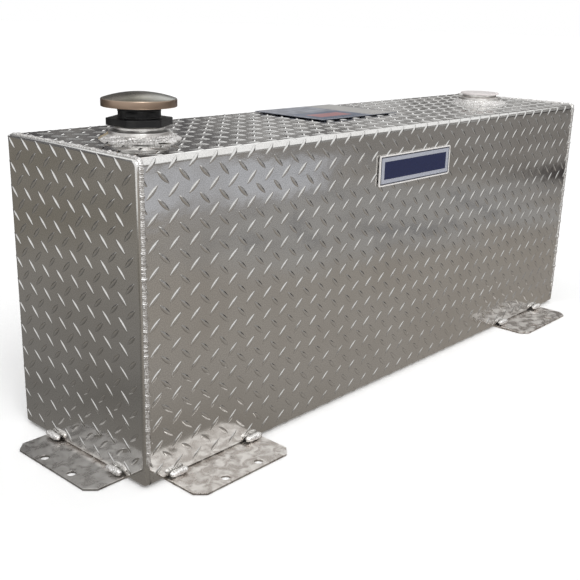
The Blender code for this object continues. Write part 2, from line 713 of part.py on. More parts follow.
def build_tab(name, face_point, turn, reach):
    """A drilled mounting tab, lapped under the tank and standing out of the face at face_point."""
    bm = bmesh.new()
    bmesh.ops.create_cube(bm, size=1.0)
    bmesh.ops.scale(bm, vec=(TAB_LENGTH, reach + TAB_LAP, TAB_SHEET), verts=bm.verts)
    bmesh.ops.translate(bm, vec=(0, (TAB_LAP - reach) / 2, TAB_SHEET / 2), verts=bm.verts)
    outer = [edge for edge in bm.edges if all(vert.co.y < -reach / 2 for vert in edge.verts)]
    upright = [edge for edge in outer if abs(edge.verts[0].co.z - edge.verts[1].co.z) > TAB_SHEET / 2]
    bmesh.ops.bevel(bm, geom=upright, offset=TAB_CHAMFER, segments=1, affect="EDGES")
    tab = add_object(name, mesh_from(bm, name), MILL_ALUMINIUM)
    tab.location = face_point
    tab.rotation_euler = (0, 0, turn)
    for side in (-1, 1):
        hole_name = f"{name}_hole_{'a' if side < 0 else 'b'}"
        hole = add_cutter(hole_name, cylinder_mesh(hole_name, TAB_HOLE_RADIUS, 4 * TAB_SHEET, 16))
        hole.parent = tab
        hole.location = (side * TAB_HOLE_SPACING / 2, TAB_HOLE_FROM_EDGE - reach, 0)
        apply_boolean(tab, hole, "DIFFERENCE")
    return tab


def build_stitch_welds(tab):
    """Two short beads that fix a tab to the face above it, one near each end of the tab."""
    for side in (-1, 1):
        name = f"{tab.name}_weld_{'a' if side < 0 else 'b'}"
        stitch = add_object(name, cylinder_mesh(name, STITCH_RADIUS, STITCH_LENGTH, STITCH_SIDES), WELD_METAL)
        add_bevel(stitch, STITCH_ROUNDING, 1, 50)
        stitch.parent = tab
        along = side * ((TAB_LENGTH - STITCH_LENGTH) / 2 - STITCH_INSET)
        stitch.location = (along, -GAP - STITCH_RADIUS, TAB_TOP + GAP + STITCH_RADIUS)
        stitch.rotation_euler = (0, math.radians(90), 0)


def build_tabs():
    """Two tabs along the front and one under each end, with their stitch welds."""
    front_left_x = LEFT + FRONT_LEFT_TAB_START + TAB_LENGTH / 2
    front_right_x = RIGHT - FRONT_RIGHT_TAB_START - TAB_LENGTH / 2
    end_y = FRONT + END_TAB_START + TAB_LENGTH / 2
    tabs = (
        ("front_left_tab", (front_left_x, FRONT, 0), 0, FRONT_TAB_REACH),
        ("front_right_tab", (front_right_x, FRONT, 0), 0, FRONT_TAB_REACH),
        ("left_end_tab", (LEFT, end_y, 0), -math.pi / 2, END_TAB_REACH),
        ("right_end_tab", (RIGHT, end_y, 0), math.pi / 2, END_TAB_REACH),
    )
    for name, face_point, turn, reach in tabs:
        build_stitch_welds(build_tab(name, face_point, turn, reach))


def build_badge():
    """The plain raised plate bonded to the lugs, high on the front face."""
    size = (BADGE_LENGTH, BADGE_WIDTH, BADGE_THICKNESS)
    badge = add_object("badge_plate", plate_mesh("badge_plate", size, BADGE_CORNER, 3), BADGE_BLUE)
    badge.rotation_euler = (math.radians(90), 0, 0)
    centre_y = FRONT - LUG_HEIGHT - GAP - BADGE_THICKNESS / 2
    badge.location = (LEFT + BADGE_FROM_LEFT, centre_y, TOP - BADGE_FROM_TOP)
    return badge


def build_label():
    """The plain placard bonded to the top, at the back."""
    size = (LABEL_LENGTH, LABEL_WIDTH, LABEL_THICKNESS)
    label = add_object("top_placard", plate_mesh("top_placard", size, LABEL_CORNER, 2), LABEL_GREY)
    back_edge = BACK - TOP_BEND - LABEL_FROM_FOLD
    label.location = (LEFT + LABEL_FROM_LEFT, back_edge - LABEL_WIDTH / 2, TOP + GAP + LABEL_THICKNESS / 2)
    return label


clear_scene()
part_collection = new_collection(PART_NAME)
cutter_collection = new_collection("cutters")

build_wrapper()
build_end_pan("left_end_plate", LEFT, 1)
build_end_pan("right_end_plate", RIGHT, -1)
build_end_weld("left_end_weld", LEFT + END_RIM)
build_end_weld("right_end_weld", RIGHT - END_RIM)
build_seam_weld()
build_baffle("left_baffle", -BAFFLE_SPACING / 2)
build_baffle("right_baffle", BAFFLE_SPACING / 2)
build_bung("filler_bung", FILLER_X)
build_bung("pump_bung", PUMP_X)
build_bung_weld("filler_bung_weld", FILLER_X)
build_bung_weld("pump_bung_weld", PUMP_X)
build_neck_washer()
build_filler_neck()
build_cap_gasket()
build_cap_dome()
build_backing_plate()
build_cap_core()
build_vent_filter()
build_cap_rivet()
build_port_plug()
build_tabs()
build_badge()
build_label()
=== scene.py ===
"""Looks of a truck bed transfer tank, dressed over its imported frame.

The file follows the tank as it is put together: the yard it stands in, the folded tread sheet,
the pressed ends, the weld beads, the two bungs, the filler and its cap, the plug, the tabs and
the plates. Metres, +Z up, -Y out of the long front.
"""

import math

import bmesh
import bpy
import numpy as np
from mathutils.geometry import tessellate_polygon
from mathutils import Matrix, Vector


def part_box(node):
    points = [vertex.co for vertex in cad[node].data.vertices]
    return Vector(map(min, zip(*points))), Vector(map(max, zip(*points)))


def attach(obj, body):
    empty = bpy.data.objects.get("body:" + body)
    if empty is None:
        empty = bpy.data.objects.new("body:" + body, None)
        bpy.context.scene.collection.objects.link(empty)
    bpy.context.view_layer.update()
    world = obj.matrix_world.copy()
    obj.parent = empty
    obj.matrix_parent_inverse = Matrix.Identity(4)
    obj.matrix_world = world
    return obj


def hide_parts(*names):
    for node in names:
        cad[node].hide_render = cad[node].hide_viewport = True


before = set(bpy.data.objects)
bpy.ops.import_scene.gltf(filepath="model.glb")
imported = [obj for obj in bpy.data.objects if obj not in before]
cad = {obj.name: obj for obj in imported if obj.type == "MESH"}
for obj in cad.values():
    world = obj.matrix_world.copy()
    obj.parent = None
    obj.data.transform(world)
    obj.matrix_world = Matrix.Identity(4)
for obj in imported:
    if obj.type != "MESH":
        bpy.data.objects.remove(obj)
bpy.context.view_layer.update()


# Viewpoint
# The tank is seen past its left end, from a little above its top. The lens, the place and the turn
# are those of a pinhole camera fitted to the outlines in the photograph.
camera = bpy.data.objects.new("camera", bpy.data.cameras.new("camera"))
camera.data.lens = 54.54
camera.data.sensor_width = 36.0
camera.location = (-1.2835, -0.9799, 0.6392)
camera.rotation_euler = np.radians((72.426, -1.486, -47.643))
bpy.context.scene.collection.objects.link(camera)
bpy.context.scene.camera = camera
bpy.context.scene.view_settings.view_transform = "Standard"


# Yard and light
# A white floor under an even white sky, with one broad soft lamp high on the left. Bright metal
# shows what stands round it, so a low grey-brown yard lies there for it to mirror.
class Value:
    """One output of a shader node. Arithmetic on it adds Math nodes."""

    def __init__(self, net, socket):
        self.net, self.socket = net, socket

    def __add__(self, other):
        return self.net.math("ADD", self, other)

    def __sub__(self, other):
        return self.net.math("SUBTRACT", self, other)

    def __rsub__(self, other):
        return self.net.math("SUBTRACT", other, self)

    def __mul__(self, other):
        return self.net.math("MULTIPLY", self, other)

    def __truediv__(self, other):
        return self.net.math("DIVIDE", self, other)

    def __pow__(self, other):
        return self.net.math("POWER", self, other)

    __radd__ = __add__
    __rmul__ = __mul__


class Net:
    """The nodes of one finish, or of the sky."""

    def __init__(self, owner):
        owner.use_nodes = True
        self.owner, self.tree = owner, owner.node_tree

    def add(self, kind, settings, sockets, output=0):
        """A node of a kind: its settings first, then the value or link of each socket."""
        node = self.tree.nodes.new("ShaderNode" + kind)
        for name, value in settings.items():
            setattr(node, name, value)
        for name, value in sockets.items():
            self.plug(value, node.inputs[name])
        return Value(self, node.outputs[output])

    def plug(self, value, socket):
        """Links a value to a socket, or sets a number or colour on it."""
        if isinstance(value, Value):
            self.tree.links.new(value.socket, socket)
        elif isinstance(value, tuple) and socket.type == "RGBA":
            socket.default_value = (*value, 1.0)
        else:
            socket.default_value = value

    def math(self, operation, *values):
        return self.add("Math", {"operation": operation}, dict(enumerate(values)))

    def mix(self, factor, first, second):
        """first where the factor is 0, second where it is 1."""
        return self.add("Mix", {"data_type": "RGBA"}, {0: factor, 6: first, 7: second}, 2)

    def step(self, value, low, high):
        """0 below low, 1 above high, and a smooth rise between."""
        settings = {"interpolation_type": "SMOOTHSTEP"}
        return self.add("MapRange", settings, {"Value": value, "From Min": low, "From Max": high})

    def place(self, centre=(0, 0, 0), stretch=(1, 1, 1)):
        """Object coordinates about a centre, each axis times its stretch."""
        shift = tuple(-c * s for c, s in zip(centre, stretch))
        here = self.add("TexCoord", {}, {}, 3)
        return self.add("Mapping", {}, {"Vector": here, "Location": shift, "Scale": stretch})

    def axes(self, vector):
        """The three numbers of a vector."""
        return [self.add("SeparateXYZ", {}, {0: vector}, axis) for axis in range(3)]

    def noise(self, vector, scale, detail=3.0, roughness=0.5):
        sockets = {"Vector": vector, "Scale": scale, "Detail": detail, "Roughness": roughness}
        return self.add("TexNoise", {}, sockets)

    def bump(self, height):
        """A normal from a height in millimetres."""
        return self.add("Bump", {}, {"Height": height, "Strength": 1.0, "Distance": 0.001})


sky = Net(bpy.data.worlds.new("white_sky"))
bpy.context.scene.world = sky.owner
ray = [sky.add("LightPath", {}, {}, "Is %s Ray" % kind) for kind in ("Camera", "Glossy", "Transmission")]
seen = sky.math("MINIMUM", ray[0] + ray[1] + ray[2], 1.0)
sky.plug((1.0, 1.0, 1.0), sky.tree.nodes["Background"].inputs["Color"])
# Metal also mirrors a dull haze high up behind, with a bright break in it to the right.
way_x, way_y, way_up = sky.axes(sky.add("TexCoord", {}, {}, 0))
haze = sky.step(way_x * 0.27 + way_y * 0.58 + way_up * 0.766, 0.885, 0.975)
bright = sky.step(way_x * 0.609 + way_y * 0.631 + way_up * 0.480, 0.980, 0.996)
mirrored = 1.0 + ray[1] * (bright * 0.5 - haze * (1.0 - bright) * 0.6)
sky.plug((0.82 + seen * 0.18) * mirrored, sky.tree.nodes["Background"].inputs["Strength"])

lamp = bpy.data.objects.new("soft_lamp", bpy.data.lights.new("soft_lamp", "SUN"))
lamp.data.energy = 1.35
lamp.data.angle = math.radians(34)
lamp.rotation_euler = np.radians((38, -24, 0))
bpy.context.scene.collection.objects.link(lamp)


def grid_mesh(name, points, around=False, along=False):
    """A mesh from an array of points (rows, columns, xyz), each square of the grid a face.
    around joins the last column to the first, and along joins the last row to the first."""
    rows, columns = points.shape[:2]
    index = np.arange(rows * columns).reshape(rows, columns)
    if around:
        index = np.hstack([index, index[:, :1]])
    if along:
        index = np.vstack([index, index[:1]])
    faces = np.stack([index[:-1, :-1], index[:-1, 1:], index[1:, 1:], index[1:, :-1]], -1)
    mesh = bpy.data.meshes.new(name)
    mesh.from_pydata(points.reshape(-1, 3).tolist(), [], faces.reshape(-1, 4).tolist())
    return mesh


def staged(name, mesh, finish):
    """Puts a mesh into the yard, apart from the tank."""
    mesh.materials.append(finish)
    thing = bpy.data.objects.new(name, mesh)
    bpy.context.scene.collection.objects.link(thing)
    return thing


def new_finish(name, metallic=0.0):
    """A finish: its net, and the sockets of its shader for what varies over it."""
    net = Net(bpy.data.materials.new(name))
    shader = net.tree.nodes["Principled BSDF"].inputs
    net.plug(metallic, shader["Metallic"])
    return net, shader


white_floor, shader = new_finish("white_floor")
white_floor.plug((0.95, 0.95, 0.95), shader["Base Color"])
white_floor.plug(1.0, shader["Roughness"])
white_floor.plug(0.0, shader["Specular IOR Level"])
span = np.array([-30.0, 30.0])
floor_points = np.stack([*np.meshgrid(span, span), np.full((2, 2), -0.0008)], -1)
staged("white_floor", grid_mesh("white_floor", floor_points), white_floor.owner)


def yard_points(turns, rings):
    """A bowl: flat ground out to 5 m, then a hedge whose height waves round the yard. It grows to
    trees as (1/2 + cos(a)/2)^3 towards the far side, with a dip of exp(-a^2) in them, and to lower
    ones as (1/2 + cos(a)/2)^8 on the right."""
    turn = np.linspace(0, math.tau, turns, endpoint=False)
    reach = np.linspace(0, 1, rings)[:, None]
    radius = 5.0 * np.minimum(reach * 1.25, 1.0) ** 2
    waves = 0.10 * np.sin(3 * turn + 0.6) + 0.05 * np.sin(7 * turn) + 0.03 * np.sin(17 * turn)
    trees = 4.2 * (0.5 + 0.5 * np.cos(turn - 1.25)) ** 3
    trees *= 1 - 0.65 * np.exp(-((turn - 0.76) / 0.20) ** 2)
    trees += 1.6 * (0.5 + 0.5 * np.cos(turn + 0.40)) ** 8
    height = (0.42 + waves * (1 + trees) + trees) * np.clip(reach * 5 - 4, 0, 1) - 0.0004
    return np.stack([radius * np.cos(turn), radius * np.sin(turn), height], -1)


yard = Net(bpy.data.materials.new("yard"))
yard.tree.nodes.remove(yard.tree.nodes["Principled BSDF"])
along_x, along_y, up = yard.axes(yard.place())
# The ground is earth, dark behind the tank, open and bright past the hedge's end on the left, and
# concrete in front, with a wet patch, its kerb and a joint.
beside = yard.step(along_y * 0.4 - along_x, 0.75, 1.9)
ground = yard.mix(beside, (0.096, 0.092, 0.084), (0.190, 0.174, 0.148))
behind = yard.step(along_y, 1.7, 2.6) * yard.step(along_x, -1.4, -0.9)
ground = yard.mix(behind, ground, (0.035, 0.035, 0.035))
open_side = 1.0 - yard.step(along_x + along_y * 0.3, -3.2, -2.3)
ground = yard.mix(open_side, ground, (0.88, 0.88, 0.87))
in_front = yard.step(along_x * 0.6 - along_y * 0.8, -0.7, 0.3)
ground = yard.mix(in_front, ground, (0.315, 0.285, 0.250))
ground = yard.mix(yard.step(along_x, 0.7, 2.6), ground, (0.205, 0.192, 0.180))
patches = yard.step(yard.noise(yard.place(), 0.9, 4.0), 0.35, 0.65)
ground = yard.mix(patches * 0.45 * (1.0 - behind) * (1.0 - open_side), ground, (0.31, 0.295, 0.28))
strip = yard.step(along_x, 1.9, 2.4) * yard.step(along_y, -1.15, -0.95)
ground = yard.mix(strip, ground, (0.045, 0.040, 0.040))
wander = (yard.noise(yard.place(), 2.2, 3.0) - 0.5) * 0.9


def ragged_oval(x, y, length, width, core):
    """1 inside an oval patch of the ground, where (x/a)^2 + (y/b)^2 is under its core, and 0 past
    1.5. The noise wander draws its edge in and out."""
    from_x, from_y = along_x - x, along_y - y + wander
    return 1.0 - yard.step(from_x * from_x / length + from_y * from_y / width, core, 1.5)


grey = ragged_oval(1.15, -0.95, 0.85, 0.16, 0.3)
ground = yard.mix(grey * 0.8, ground, (0.34, 0.335, 0.33))
pale = ragged_oval(0.95, -1.85, 1.1, 0.22, 0.4)
kerb = yard.step(pale, 0.02, 0.20) * (1.0 - yard.step(pale, 0.25, 0.60))
ground = yard.mix(pale * 0.9, ground, (0.53, 0.54, 0.575))
ground = yard.mix(kerb * 0.45, ground, (0.12, 0.12, 0.12))
joint = 1.0 - yard.step(yard.math("ABSOLUTE", wander - 0.03), 0.006, 0.022)
ground = yard.mix(joint * yard.math("MAXIMUM", pale, grey) * 0.6, ground, (0.11, 0.11, 0.12))
# The hedge is dark leaves, paler on the right, with gaps of sky, and a dark foot there.
leaves = yard.step(yard.noise(yard.place(stretch=(1, 1, 2.5)), 2.2, 5.0, 0.7), 0.38, 0.64)
to_the_right = yard.step(along_x * 0.9 - along_y * 0.45, 0.2, 3.2)
hedge = yard.mix(leaves, (0.025, 0.025, 0.033), (0.25, 0.24, 0.23))
hedge = yard.mix(to_the_right, hedge, yard.mix(leaves, (0.11, 0.105, 0.10), (0.58, 0.57, 0.56)))
gaps = yard.step(yard.noise(yard.place(stretch=(1, 1, 1.6)), 1.3, 4.0, 0.65) + up * 0.09, 0.74, 0.86)
hedge = yard.mix(yard.math("MAXIMUM", gaps * 0.8, open_side), hedge, (0.92, 0.92, 0.93))
hedge_foot = yard.step(along_x, 4.2, 4.5) * (1.0 - yard.step(up, 0.45, 0.85))
hedge = yard.mix(hedge_foot, hedge, (0.055, 0.052, 0.050))
yard_colour = yard.mix(yard.step(up, 0.0, 0.08), ground, hedge)
glow = yard.add("Emission", {}, {"Color": yard_colour, "Strength": 1.0})
yard.plug(glow, yard.tree.nodes["Material Output"].inputs["Surface"])
bowl = staged("yard", grid_mesh("yard", yard_points(192, 31), around=True), yard.owner)
bowl.visible_camera = bowl.visible_diffuse = bowl.visible_shadow = bowl.visible_transmission = False


# Folded shell
# One sheet of bright aluminium tread plate, folded up the back, over the top and down the front,
# with its butt seam under the tank. Two round holes in its top take the bungs.
SHEET, SEAM_FROM_BACK = 0.0032, 0.045
TOP_FOLD, BOTTOM_FOLD, FOLD_STEPS = 0.010, 0.0055, 12
FLAT_BY_FOLD = 0.0006
BUNGS, BUNG_HOLE = ("filler_bung", "pump_bung"), 0.0346
wrapper_low, wrapper_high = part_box("wrapper")
left_low, left_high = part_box("left_end_plate")
tank_left, tank_right = left_low.x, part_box("right_end_plate")[1].x
front, back = left_low.y, left_high.y
bottom, top = left_low.z, left_high.z
seam = back - SEAM_FROM_BACK


def centre_of(node):
    """The middle of a CAD node's box."""
    low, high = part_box(node)
    return np.array((low + high) / 2)


def folds(inset, steps):
    """The four folds in (y, z), each a quarter circle set in from the tank's faces. Gives y, z and
    the direction that the face looks in, in degrees from the back, for every step of every fold."""
    low_r, high_r = BOTTOM_FOLD - inset, TOP_FOLD - inset
    about = np.array([
        (back - BOTTOM_FOLD, bottom + BOTTOM_FOLD, low_r, -90),
        (back - TOP_FOLD, top - TOP_FOLD, high_r, 0),
        (front + TOP_FOLD, top - TOP_FOLD, high_r, 90),
        (front + BOTTOM_FOLD, bottom + BOTTOM_FOLD, low_r, 180),
    ])
    look = about[:, 3:] + np.linspace(0, 90, steps + 1)
    turn = np.radians(look)
    y = about[:, :1] + about[:, 2:3] * np.cos(turn)
    z = about[:, 1:2] + about[:, 2:3] * np.sin(turn)
    return np.stack([y, z, look], -1)


def sheet_path():
    """The sheet's outline from seam to seam: the folds, a little of the flat beside each, and the
    two edges of the seam."""
    arcs = folds(0, FOLD_STEPS)
    turn = np.radians(arcs[..., 2])
    heading = np.stack([-np.sin(turn), np.cos(turn), 0 * turn], -1) * FLAT_BY_FOLD
    arcs = np.concatenate([arcs[:, :1] - heading[:, :1], arcs, arcs[:, -1:] + heading[:, -1:]], 1)
    ends = np.array([[[seam + 0.00015, bottom, -90]], [[seam - 0.00015, bottom, 270]]])
    return np.concatenate([ends[0], arcs.reshape(-1, 3), ends[1]])


def on_path(fold, step):
    """The index on the path of a step of a fold. The folds count from the bottom back one, round
    over the top. A point on the flat comes before and after each, and the seam before them all."""
    return 2 + fold * (FOLD_STEPS + 3) + step


path = sheet_path()
run = np.concatenate([[0], np.cumsum(np.hypot(*np.diff(path[:, :2], axis=0).T))])


def on_sheet(x, distance, lift):
    """A point of the folded sheet from x and its distance round from the seam, lifted off it."""
    y, z, look = (np.interp(distance, run, path[:, axis]) for axis in range(3))
    turn = np.radians(look)
    return np.stack([x, y + lift * np.cos(turn), z + lift * np.sin(turn)], -1)


def finished(name, mesh, finish, body, slot, *stands_for):
    """Puts a mesh on its body with its finish: doubles merged, its faces turned outwards, and smooth
    but for open edges, which are cut edges once the sheet has its wall."""
    whole = bmesh.new()
    whole.from_mesh(mesh)
    bmesh.ops.remove_doubles(whole, verts=whole.verts, dist=2e-6)
    bmesh.ops.recalc_face_normals(whole, faces=whole.faces)
    for edge in whole.edges:
        edge.smooth = edge.smooth and not edge.is_boundary
    whole.to_mesh(mesh)
    whole.free()
    looks, middles = np.zeros((2, len(mesh.polygons) * 3))
    mesh.polygons.foreach_get("normal", looks)
    mesh.polygons.foreach_get("center", middles)
    middles = middles.reshape(-1, 3)
    if (looks.reshape(-1, 3) * (middles - middles.mean(0))).sum() < 0:
        mesh.flip_normals()
    mesh.materials.append(finish)
    mesh.polygons.foreach_set("use_smooth", np.ones(len(mesh.polygons), bool))
    piece = bpy.data.objects.new(name, mesh)
    bpy.context.scene.collection.objects.link(piece)
    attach(piece, body)
    if stands_for:
        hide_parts(*stands_for)
    return piece


def walled(piece, thickness):
    """Gives an open sheet its wall, inwards."""
    wall = piece.modifiers.new("wall", "SOLIDIFY")
    wall.thickness, wall.offset, wall.use_even_offset = thickness, -1, True
    return piece


tread, shader = new_finish("tread_plate", metallic=1.0)
smudge = tread.step(tread.noise(tread.place(), 9.0, 4.0), 0.40, 0.75)
speckle = tread.step(tread.noise(tread.place(), 520.0, 2.0), 0.35, 0.65)
bright_roll = tread.mix(speckle, (0.74, 0.735, 0.72), (0.86, 0.855, 0.84))
bright_roll = tread.mix(smudge * 0.5, bright_roll, (0.70, 0.68, 0.65))
# Painted shade: the base colour darkens round each lug's foot, where the attribute foot is 1.
foot = tread.add("Attribute", {"attribute_name": "foot"}, {}, 2)
tread.plug(tread.mix(foot * 0.66, bright_roll, (0.22, 0.215, 0.205)), shader["Base Color"])
rolled = tread.noise(tread.place(stretch=(1, 14, 14)), 14.0, 3.0)
tread.plug(0.055 + rolled * 0.045 + smudge * 0.05, shader["Roughness"])
sway = tread.noise(tread.place(), 3.2, 1.0) * 2.2
dents = tread.noise(tread.place(), 24.0, 2.0) * 0.34
grain = tread.noise(tread.place(stretch=(1, 6, 6)), 160.0, 2.0) * 0.012
tread.plug(tread.bump(sway + dents + grain), shader["Normal"])


def round_hole(node, radius, steps=48):
    """Points of a hole in the tank's top, about a bung's axis."""
    turn = np.linspace(0, math.tau, steps, endpoint=False)
    x, y, _ = centre_of(node)
    return np.stack([x + radius * np.cos(turn), y + radius * np.sin(turn), np.full(steps, top)], -1)


def shell_mesh():
    """The sheet's path drawn out along x, its top flat cut round the two holes."""
    ends = np.array([wrapper_high.x, wrapper_low.x])
    points = np.stack([np.stack([np.full(len(path), x), path[:, 0], path[:, 1]], -1) for x in ends], 1)
    mesh = grid_mesh("folded_shell", points)
    whole = bmesh.new()
    whole.from_mesh(mesh)
    whole.faces.ensure_lookup_table()
    flat = on_path(1, FOLD_STEPS + 1)
    bmesh.ops.delete(whole, geom=[whole.faces[flat]], context="FACES_ONLY")
    outline = points[[flat, flat, flat + 1, flat + 1], [0, 1, 1, 0]]
    loops = [outline, *(round_hole(bung, BUNG_HOLE) for bung in BUNGS)]
    corner = [whole.verts.new(point) for point in np.vstack(loops)]
    for triangle in tessellate_polygon([[tuple(point) for point in loop] for loop in loops]):
        whole.faces.new([corner[index] for index in triangle])
    whole.to_mesh(mesh)
    whole.free()
    return mesh


walled(finished("folded_shell", shell_mesh(), tread.owner, "tank", "tread_plate", "wrapper"), SHEET)


# Tread
# Rolled lugs, lens shaped with a ridge along the middle, 29 mm long and 7 mm wide. They stand in
# two crossed sets on a square pitch of 36 mm, and run on over the folds. Painted shade darkens their feet.
PITCH, COLUMN_FROM_LEFT, ROW_ABOVE_FOLD = 0.0359, 0.0239, 0.0011
LUG_LENGTH, LUG_WIDTH, LUG_HEIGHT, LUG_SLANT = 0.0285, 0.0074, 0.0016, 43.0
LUG_ROOT = 0.0002
PLAIN_BY_SEAM, PLAIN_BY_JOINT, PLAIN_BY_BUNG, PLAIN_BY_TAB = 0.013, 0.002, 0.042, 0.009
TABS = ("front_left_tab", "front_right_tab", "left_end_tab", "right_end_tab")
chance = np.random.default_rng(5)


def lug_points():
    """One lug on (along, across, lift): width falls as 1-u^2 and height as 1-|u|^2.2 towards the
    pointed ends, and across the lug the height falls as 1-|v|^1.5 from the ridge. Its root is sunk
    in the sheet."""
    u, v = np.meshgrid([-0.78, -0.4, 0.0, 0.4, 0.78], [-1.0, -0.55, 0.0, 0.55, 1.0], indexing="ij")
    across = v * (1 - u**2) ** 0.85 * LUG_WIDTH / 2
    lift = LUG_HEIGHT * (1 - np.abs(u) ** 2.2) * (1 - np.abs(v) ** 1.5)
    body = np.stack([u * LUG_LENGTH / 2, across, lift], -1).reshape(-1, 3)
    tips = np.array([[-LUG_LENGTH / 2, 0, 0], [LUG_LENGTH / 2, 0, 0]])
    return np.vstack([body, tips]) - (0, 0, LUG_ROOT)


def lug_faces():
    """Faces of one lug: its squares, the triangles at the tips, and the closed underside."""
    cell = np.arange(25).reshape(5, 5)
    quads = np.stack([cell[:-1, :-1], cell[1:, :-1], cell[1:, 1:], cell[:-1, 1:]], -1).reshape(-1, 4)
    under = np.stack([cell[:-1, 4], cell[1:, 4], cell[1:, 0], cell[:-1, 0]], -1)
    first = np.stack([np.full(4, 25), cell[0, :-1], cell[0, 1:]], -1)
    last = np.stack([np.full(4, 26), cell[4, 1:], cell[4, :-1]], -1)
    ends = np.array([[25, cell[0, 4], cell[0, 0]], [26, cell[4, 0], cell[4, 4]]])
    return np.vstack([quads, under]), np.vstack([first, last, ends])


def lug_mesh(name, places, rising, on_surface):
    """Lugs at their places (right, down) on a flat sheet, laid onto a surface by on_surface(right,
    down, lift). rising is 1 for a lug that climbs to the right and -1 for one that falls. The
    attribute foot is 1 round a lug's rim and 0 on its ridge: it places the painted shade at the feet."""
    along, across, lift = lug_points().T
    count, corners = len(places), len(along)
    angle = np.radians(LUG_SLANT + chance.normal(0, 1.2, count))[:, None]
    grow = chance.normal(1, 0.03, (count, 1))
    worn = chance.normal(1, 0.06, (count, 1)).clip(0.8, 1.12)
    right = places[:, :1] + grow * (along * np.cos(angle) + across * np.sin(angle))
    down = places[:, 1:2] - rising[:, None] * grow * (along * np.sin(angle) - across * np.cos(angle))
    points = on_surface(right, down, lift * worn)
    quads, triangles = lug_faces()
    first = np.arange(count)[:, None, None] * corners
    faces = (quads + first).reshape(-1, 4).tolist() + (triangles + first).reshape(-1, 3).tolist()
    mesh = bpy.data.meshes.new(name)
    mesh.from_pydata(points.reshape(-1, 3).tolist(), [], faces)
    edges = np.zeros(len(mesh.edges) * 2, int)
    mesh.edges.foreach_get("vertices", edges)
    local = edges.reshape(-1, 2) % corners
    rim = np.isin(local % 5, (0, 4)) & (local < 25) | (local > 24)
    sharp = mesh.attributes.new("sharp_edge", "BOOLEAN", "EDGE")
    sharp.data.foreach_set("value", rim.all(1))
    # Painted shade: foot marks each lug's rim, where the sheet's colour is painted darker.
    painted_foot_shade = mesh.attributes.new("foot", "FLOAT", "POINT")
    painted_foot_shade.data.foreach_set("value", np.tile([1.0, 0.10, 0.0, 0.10, 1.0] * 5 + [1.0, 1.0], count))
    return mesh


def crossed_sets(right_start, right_end, down_start, down_end, right_first, down_first):
    """Places of both sets of lugs inside a patch: one set through the first place, rising, and one
    half a pitch along and down from it, falling."""
    sets = []
    for half, rise in ((0.0, 1.0), (0.5, -1.0)):
        steps = []
        patch = ((right_start, right_end, right_first), (down_start, down_end, down_first))
        for start, end, origin in patch:
            low = math.ceil((start - origin) / PITCH - half) + half
            high = math.floor((end - origin) / PITCH - half) + half
            steps.append(origin + np.arange(low, high + 0.1) * PITCH)
        right, down = (axis.ravel() for axis in np.meshgrid(*steps, indexing="ij"))
        sets.append(np.stack([right, down, np.full(len(right), rise)], -1))
    return np.vstack(sets)


def clear_of(places, x, y, reach):
    """Which places on the tank's top keep out of a square about (x, y)."""
    on_top = on_sheet(places[:, 0], places[:, 1], 0)
    inside = (np.abs(on_top[:, 0] - x) < reach) & (np.abs(on_top[:, 1] - y) < reach)
    return ~(inside & (on_top[:, 2] > top - 0.001))


def under_tab(places, node):
    """Which places on the tank's underside lie over a tab."""
    below = on_sheet(places[:, 0], places[:, 1], 0)
    low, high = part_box(node)
    reach = np.array((high - low).xy) / 2 + PLAIN_BY_TAB
    inside = (np.abs(below[:, :2] - centre_of(node)[:2]) < reach).all(1)
    return inside & (below[:, 2] < bottom + BOTTOM_FOLD + 0.0005)


first_row = run[on_path(2, FOLD_STEPS)] - ROW_ABOVE_FOLD
lugs = crossed_sets(
    tank_left + PLAIN_BY_JOINT, tank_right - PLAIN_BY_JOINT, PLAIN_BY_SEAM, run[-1] - PLAIN_BY_SEAM,
    tank_left + COLUMN_FROM_LEFT, first_row,
)
for bung in BUNGS:
    lugs = lugs[clear_of(lugs, *centre_of(bung)[:2], PLAIN_BY_BUNG)]
for tab in TABS:
    lugs = lugs[~under_tab(lugs, tab)]
cut_left, cut_right = wrapper_low.x + 0.0015, wrapper_high.x - 0.0015
shell_lugs = lug_mesh(
    "shell_tread", lugs[:, :2], lugs[:, 2],
    lambda x, down, lift: on_sheet(np.clip(x, cut_left, cut_right), down, lift),
)
finished("shell_tread", shell_lugs, tread.owner, "tank", "tread_plate")


# Pressed ends
# Each end is a pan of the same tread plate, its rim bent back all round to meet the folded sheet.
# The tread runs over its bends.
END_FOLD, END_RIM = 0.0045, 0.0085
END_LUGS_FROM, END_COLUMN, END_ROW = 0.004, 0.0099, 0.0110
half_y, half_z = (back - front) / 2 - END_FOLD, (top - bottom) / 2 - END_FOLD
mid_y, mid_z = (front + back) / 2, (bottom + top) / 2


def end_mesh(name, face_x, inwards):
    """The outline carried over the rim and the bend, (1-sin a, 1-cos a) of the fold for a quarter
    turn, and closed by the flat face."""
    turn = np.radians(np.linspace(0, 90, 9))
    depth = np.concatenate([[END_RIM], END_FOLD * (1 - np.sin(turn)), [0.0]])
    inset = np.concatenate([[0.0], END_FOLD * (1 - np.cos(turn)), [END_FOLD + FLAT_BY_FOLD]])
    rings = np.stack([folds(amount, 8)[..., :2].reshape(-1, 2) for amount in inset])
    x = np.broadcast_to(face_x + inwards * depth[:, None, None], rings[..., :1].shape)
    points = np.concatenate([x, rings], -1)
    mesh = grid_mesh(name, points, around=True)
    whole = bmesh.new()
    whole.from_mesh(mesh)
    whole.verts.ensure_lookup_table()
    last = points.shape[0] * points.shape[1]
    whole.faces.new(whole.verts[last - points.shape[1]:last])
    whole.to_mesh(mesh)
    whole.free()
    return mesh


